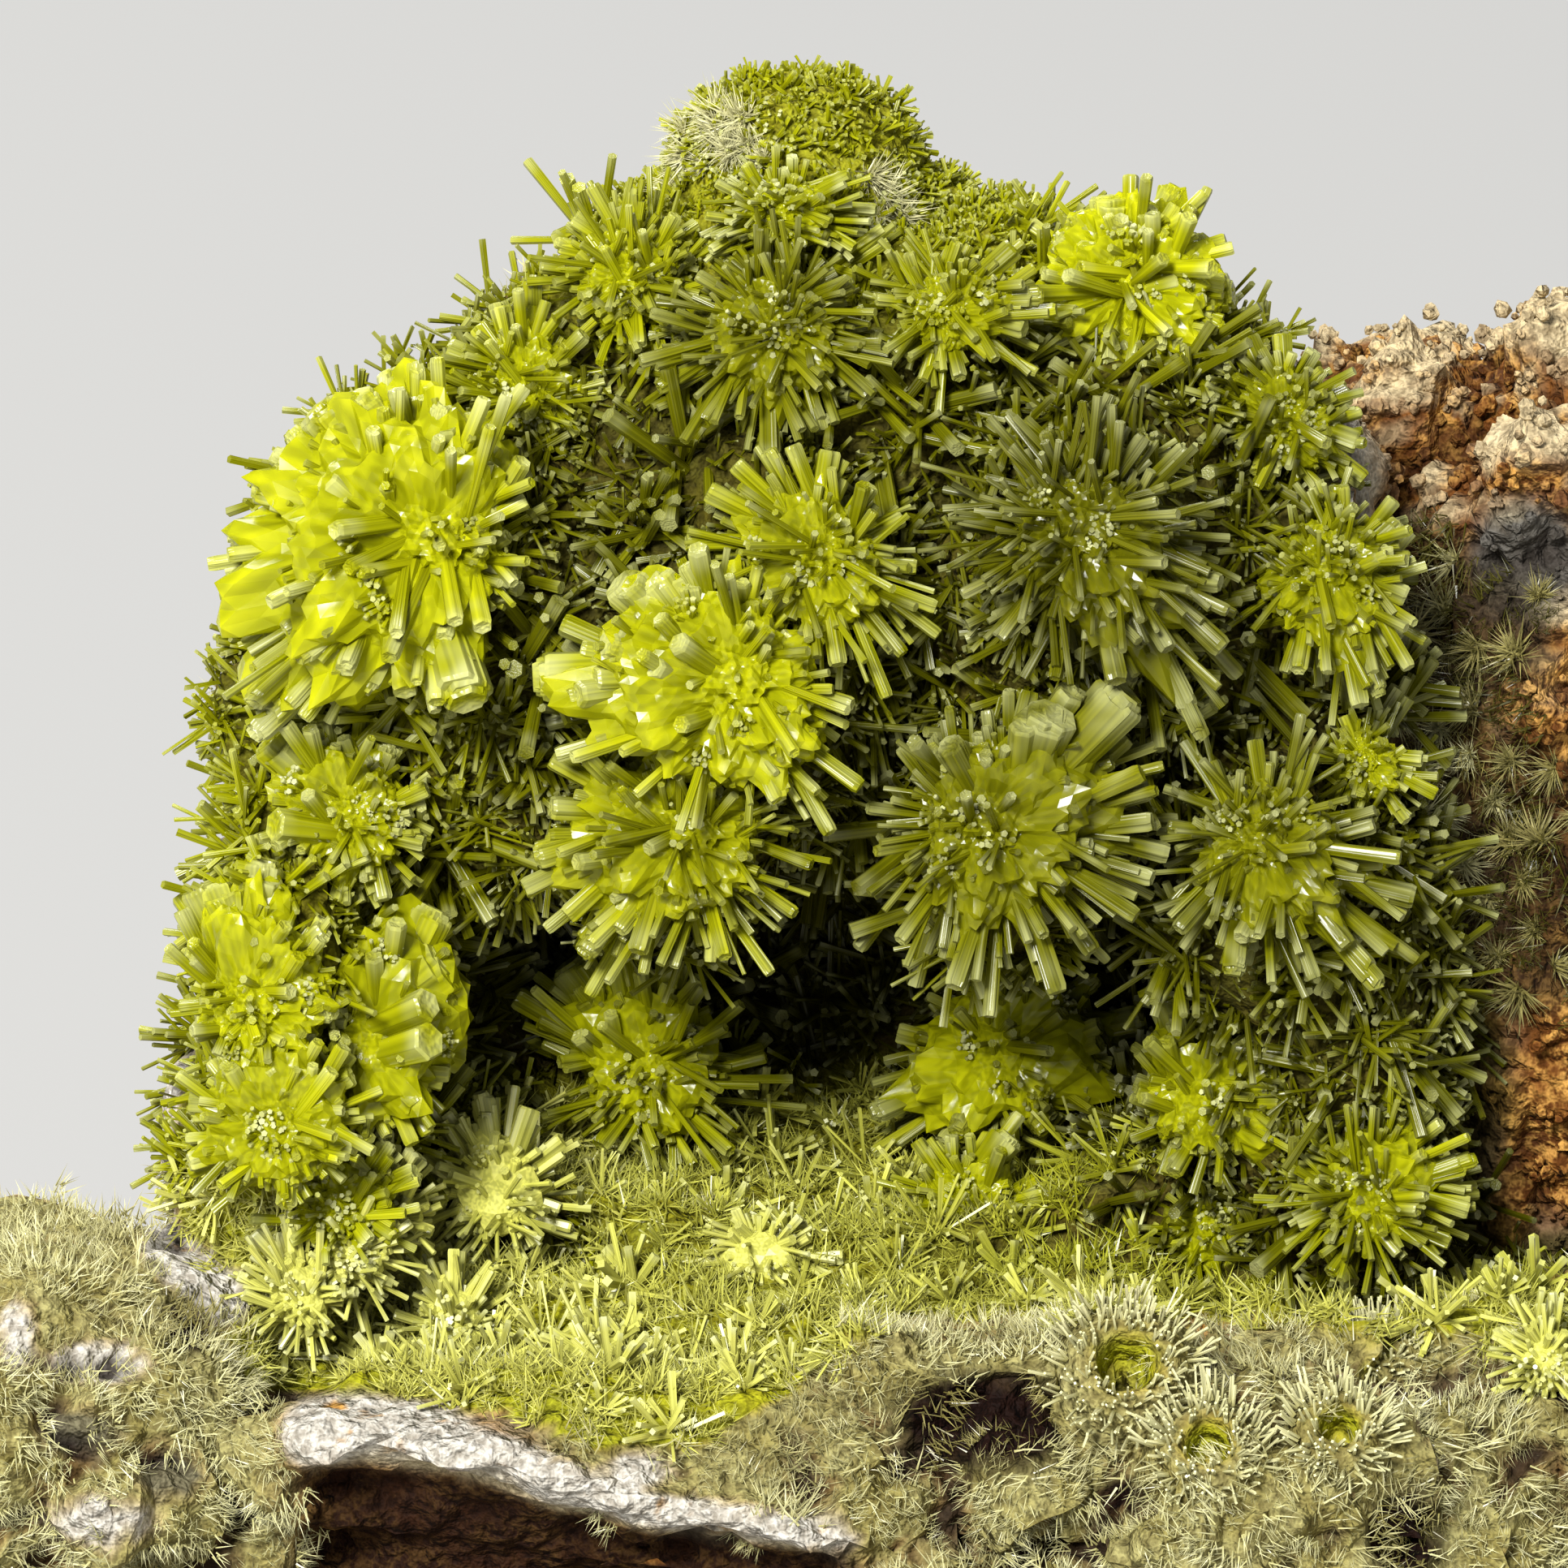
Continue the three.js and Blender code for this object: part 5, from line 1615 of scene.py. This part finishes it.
def remeshed(name, mesh, voxel):
    carrier = bpy.data.objects.new(name, mesh)
    bpy.context.scene.collection.objects.link(carrier)
    modifier = carrier.modifiers.new("voxels", "REMESH")
    modifier.mode = "VOXEL"
    modifier.voxel_size = voxel
    graph = bpy.context.evaluated_depsgraph_get()
    made = bpy.data.meshes.new_from_object(carrier.evaluated_get(graph), depsgraph=graph)
    bpy.data.objects.remove(carrier)
    return made


def dress(piece, slot, *nodes):
    """Make a piece ride with the specimen and stand for its nodes; its slot is not used."""
    # Whatever hangs below the sawn base is cut flat with it
    places = np.empty(len(piece.data.vertices) * 3)
    piece.data.vertices.foreach_get("co", places)
    places[2::3] = np.maximum(places[2::3], 0)
    piece.data.vertices.foreach_set("co", places)
    piece.data.update()
    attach(piece, BODY)
    if nodes:
        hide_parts(*nodes)


class SPECIMEN_OT_rock(bpy.types.Operator):
    """Make the rock: its solid remeshed finely, with relief, cavities and a sawn base"""

    bl_idname = "specimen.rock"
    bl_label = "Rock"

    def execute(self, context):
        sizes = context.scene.specimen_sizes
        mesh = remeshed("rock_voxels", joined_copy(ROCK_NODE), sizes.rock_grain)
        carve_cavities(mesh)
        mesh = remeshed("rock_carved", mesh, sizes.rock_grain)
        surface = Surface(mesh)
        set_values(mesh, "free", smooth_step(surface.points[:, 2], 0.2, 2.5))
        set_values(mesh, "iron", iron_mask(surface))
        set_values(mesh, "lumpy", lumpy_mask(surface))
        rock = run_tree(
            "rock", mesh, relief_tree(), Height=sizes.relief,
            Material=quartz_material(context.scene.specimen_colours),
        )
        paint_rock(rock.data)
        dress(rock, "quartz", "quartz_matrix")
        return {"FINISHED"}


class SPECIMEN_OT_sprays(bpy.types.Operator):
    """Make the separate sprays and the hollow's own, each crystal on its own point"""

    bl_idname = "specimen.sprays"
    bl_label = "Sprays"

    def execute(self, context):
        colours = context.scene.specimen_colours
        material = pyromorphite_material(colours, "pyromorphite_crystal", 0.0)
        glowing = pyromorphite_material(colours, "pyromorphite_mass", 0.25)
        pale = needle_material("pale_pyromorphite", colours.yellow, colours.straw, colours.pale)
        seed = context.scene.specimen_sizes.seed
        tree = spray_tree()
        shapes = shape_collection("crystal", spray_templates(seed))

        def make(name, sprays, seed, subdivisions, material, fused, *nodes):
            grown = [Grown(spray) for spray in sprays]
            mass = fused_mass(name + "_mass", grown, subdivisions)
            points = spray_points(name + "_points", grown, seed)
            piece = run_tree(
                name, points, tree, Shapes=shapes, Mass=mass, Material=material, Fused=fused
            )
            bpy.data.objects.remove(mass)
            dress(piece, "pyromorphite", *nodes)

        for i, spray in enumerate(SPRAYS):
            make(spray.name + "_crystals", [spray], seed + i, 5, material, glowing, spray.name)
        make("hollow_crystals", HOLLOW_SPRAYS, seed + 50, 4, material, glowing, "hollow_crust")
        make("floor_crystals", FLOOR_SPRAYS, seed + 80, 3, pale, pale)
        drop_collection(shapes)
        return {"FINISHED"}


def scatter(context, name, shapes, material, mask, gap, shift, smallest=0.6, largest=1.25):
    """Strew shapes over the rock where a mask of it allows, as one piece."""
    group = shape_collection(name + "_shape", shapes)
    piece = run_tree(
        name, bpy.data.objects["rock"].data, scatter_tree(), Shapes=group,
        Material=bpy.data.materials[material], Mask=mask, Gap=gap,
        Seed=context.scene.specimen_sizes.seed + shift, Smallest=smallest, Largest=largest,
    )
    drop_collection(group)
    dress(piece, "pyromorphite")


class SPECIMEN_OT_small_crystals(bpy.types.Operator):
    """Cover the face, the hollow and its floor with small crystals"""

    bl_idname = "specimen.small_crystals"
    bl_label = "Small crystals"

    def execute(self, context):
        sizes = context.scene.specimen_sizes
        chance = random.Random(sizes.seed)
        green, pale = "pyromorphite_crystal", "pale_pyromorphite"
        for name, kinds, material, mask, gap, shift in (
            ("face_crystals", FACE_ROSETTES, green, "face_mask", sizes.rosette_gap, 0),
            ("face_cover", FACE_COVER, green, "face_mask", sizes.rosette_gap * 0.6, 8),
            ("floor_tufts", FLOOR_TUFTS, pale, "floor_mask", sizes.carpet_gap, 1),
            ("floor_sprays", FLOOR_ROSETTES, pale, "floor_mask", sizes.carpet_gap * 2.4, 2),
        ):
            scatter(context, name, tufts(kinds, chance), material, mask, gap, shift)
        return {"FINISHED"}


class SPECIMEN_OT_needles(bpy.types.Operator):
    """Cover the feet, the summit and the right wall with tufts of fine needles"""

    bl_idname = "specimen.needles"
    bl_label = "Needles"

    def execute(self, context):
        colours = context.scene.specimen_colours
        gap = context.scene.specimen_sizes.needle_gap
        root, tip, pale = colours.needle_root, colours.needle_tip, colours.pale
        needle_material("pyromorphite_needles", root, tip, pale)
        needle_material("wall_pyromorphite", colours.olive, root, pale)
        light, dark, green = "pyromorphite_needles", "wall_pyromorphite", "pyromorphite_crystal"
        rusty = "iron_stained_quartz"
        chance = random.Random(context.scene.specimen_sizes.seed + 5)
        fine = tufts(NEEDLE_TUFTS, chance)
        pompoms = tufts(POMPOMS, chance)
        scatter(context, "foot_needles", fine, light, "needle_mask", gap, 3)
        scatter(context, "wall_needles", pompoms, light, "wall_mask", gap * 1.55, 4, 0.7, 1.3)
        scatter(context, "wall_fuzz", fine, dark, "wall_mask", gap * 1.05, 9)
        scatter(context, "back_needles", fine, light, "back_mask", gap * 2.2, 6)
        bowls, collar = crater_meshes("crater", chance)
        for name, mesh, material, slot in (
            ("crater_bowls", bowls, rusty, "quartz"), ("crater_collars", collar, light, "pyromorphite")
        ):
            mesh.materials.append(bpy.data.materials[material])
            dress(add_object(name, mesh), slot)
        grains = tufts(SUMMIT_GRAINS, chance)
        scatter(context, "summit_needles", grains, green, "summit_mask", gap * 0.62, 5)
        scatter(context, "summit_pale", pompoms, light, "pale_summit_mask", gap * 0.8, 10)
        lumps = [grain_cluster(f"lump_{i}", chance, RUST_LUMPS) for i in range(RUST_LUMPS)]
        scatter(context, "rust_grains", lumps, rusty, "grain_mask", gap * 1.2, 7)
        return {"FINISHED"}


class SPECIMEN_OT_stage(bpy.types.Operator):
    """Set the pale floor, the soft lights and the camera"""

    bl_idname = "specimen.stage"
    bl_label = "Stage"

    def execute(self, context):
        floor_mesh = bpy.data.meshes.new("floor")
        corners = [
            (side * PAPER_HALF, back * PAPER_HALF, 0) for side, back in ((-1, -1), (1, -1), (1, 1), (-1, 1))
        ]
        floor_mesh.from_pydata(corners, [], [(0, 1, 2, 3)])
        paper = {"Base Color": linear(PAPER_COLOUR), "Roughness": 0.9}
        floor_mesh.materials.append(finish_material("pale_floor", lambda tree: paper))
        floor = add_object("floor", floor_mesh)

        world = bpy.data.worlds.new("studio")
        world.use_nodes = True
        background = world.node_tree.nodes["Background"].inputs
        background["Color"].default_value = (*linear(STUDIO_COLOUR), 1)
        background["Strength"].default_value = STUDIO_STRENGTH
        context.scene.world = world
        for light in LIGHTS:
            add_area_light(*light)
        context.scene.view_settings.view_transform = "Standard"
        # Crystals stand so close that light is soon lost between them
        paths = context.scene.cycles
        paths.max_bounces = 2
        paths.diffuse_bounces = 1
        paths.glossy_bounces = 1

        camera_data = bpy.data.cameras.new("camera")
        camera_data.lens = camera_data.sensor_width * EYE_DISTANCE / VIEW_WIDTH
        camera_data.clip_start = 0.01
        camera_data.clip_end = 10
        camera = bpy.data.objects.new("camera", camera_data)
        context.scene.collection.objects.link(camera)
        turn = Matrix((RIGHT, UP, -AWAY)).transposed().to_4x4()
        camera.matrix_world = Matrix.Translation(EYE * MM) @ turn
        context.scene.camera = camera
        return {"FINISHED"}


def add_area_light(name, place, target, size, power):
    data = bpy.data.lights.new(name, "AREA")
    data.shape = "DISK"
    data.size = size
    data.energy = power
    light = bpy.data.objects.new(name, data)
    light.location = place
    light.rotation_euler = (Vector(target) - Vector(place)).to_track_quat("-Z", "Y").to_euler()
    bpy.context.scene.collection.objects.link(light)


class SPECIMEN_PT_panel(bpy.types.Panel):
    """Lists the pieces of the specimen and their sizes and colours"""

    bl_idname = "SPECIMEN_PT_panel"
    bl_label = "Specimen"
    bl_space_type = "VIEW_3D"
    bl_region_type = "UI"
    bl_category = "Specimen"

    def draw(self, context):
        for group in (context.scene.specimen_sizes, context.scene.specimen_colours):
            for name in group.__annotations__:
                self.layout.prop(group, name)
        for operator in OPERATORS:
            self.layout.operator(operator.bl_idname)


OPERATORS = (
    SPECIMEN_OT_stage, SPECIMEN_OT_rock, SPECIMEN_OT_sprays, SPECIMEN_OT_small_crystals,
    SPECIMEN_OT_needles,
)
CLASSES = (SpecimenSizes, SpecimenColours, *OPERATORS, SPECIMEN_PT_panel)


def register():
    for cls in CLASSES:
        bpy.utils.register_class(cls)
    bpy.types.Scene.specimen_sizes = PointerProperty(type=SpecimenSizes)
    bpy.types.Scene.specimen_colours = PointerProperty(type=SpecimenColours)


def unregister():
    del bpy.types.Scene.specimen_colours
    del bpy.types.Scene.specimen_sizes
    for cls in reversed(CLASSES):
        bpy.utils.unregister_class(cls)


def main():
    register()
    bpy.ops.specimen.stage()
    bpy.ops.specimen.rock()
    bpy.ops.specimen.sprays()
    bpy.ops.specimen.small_crystals()
    bpy.ops.specimen.needles()
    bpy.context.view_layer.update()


if __name__ == "__main__":
    main()
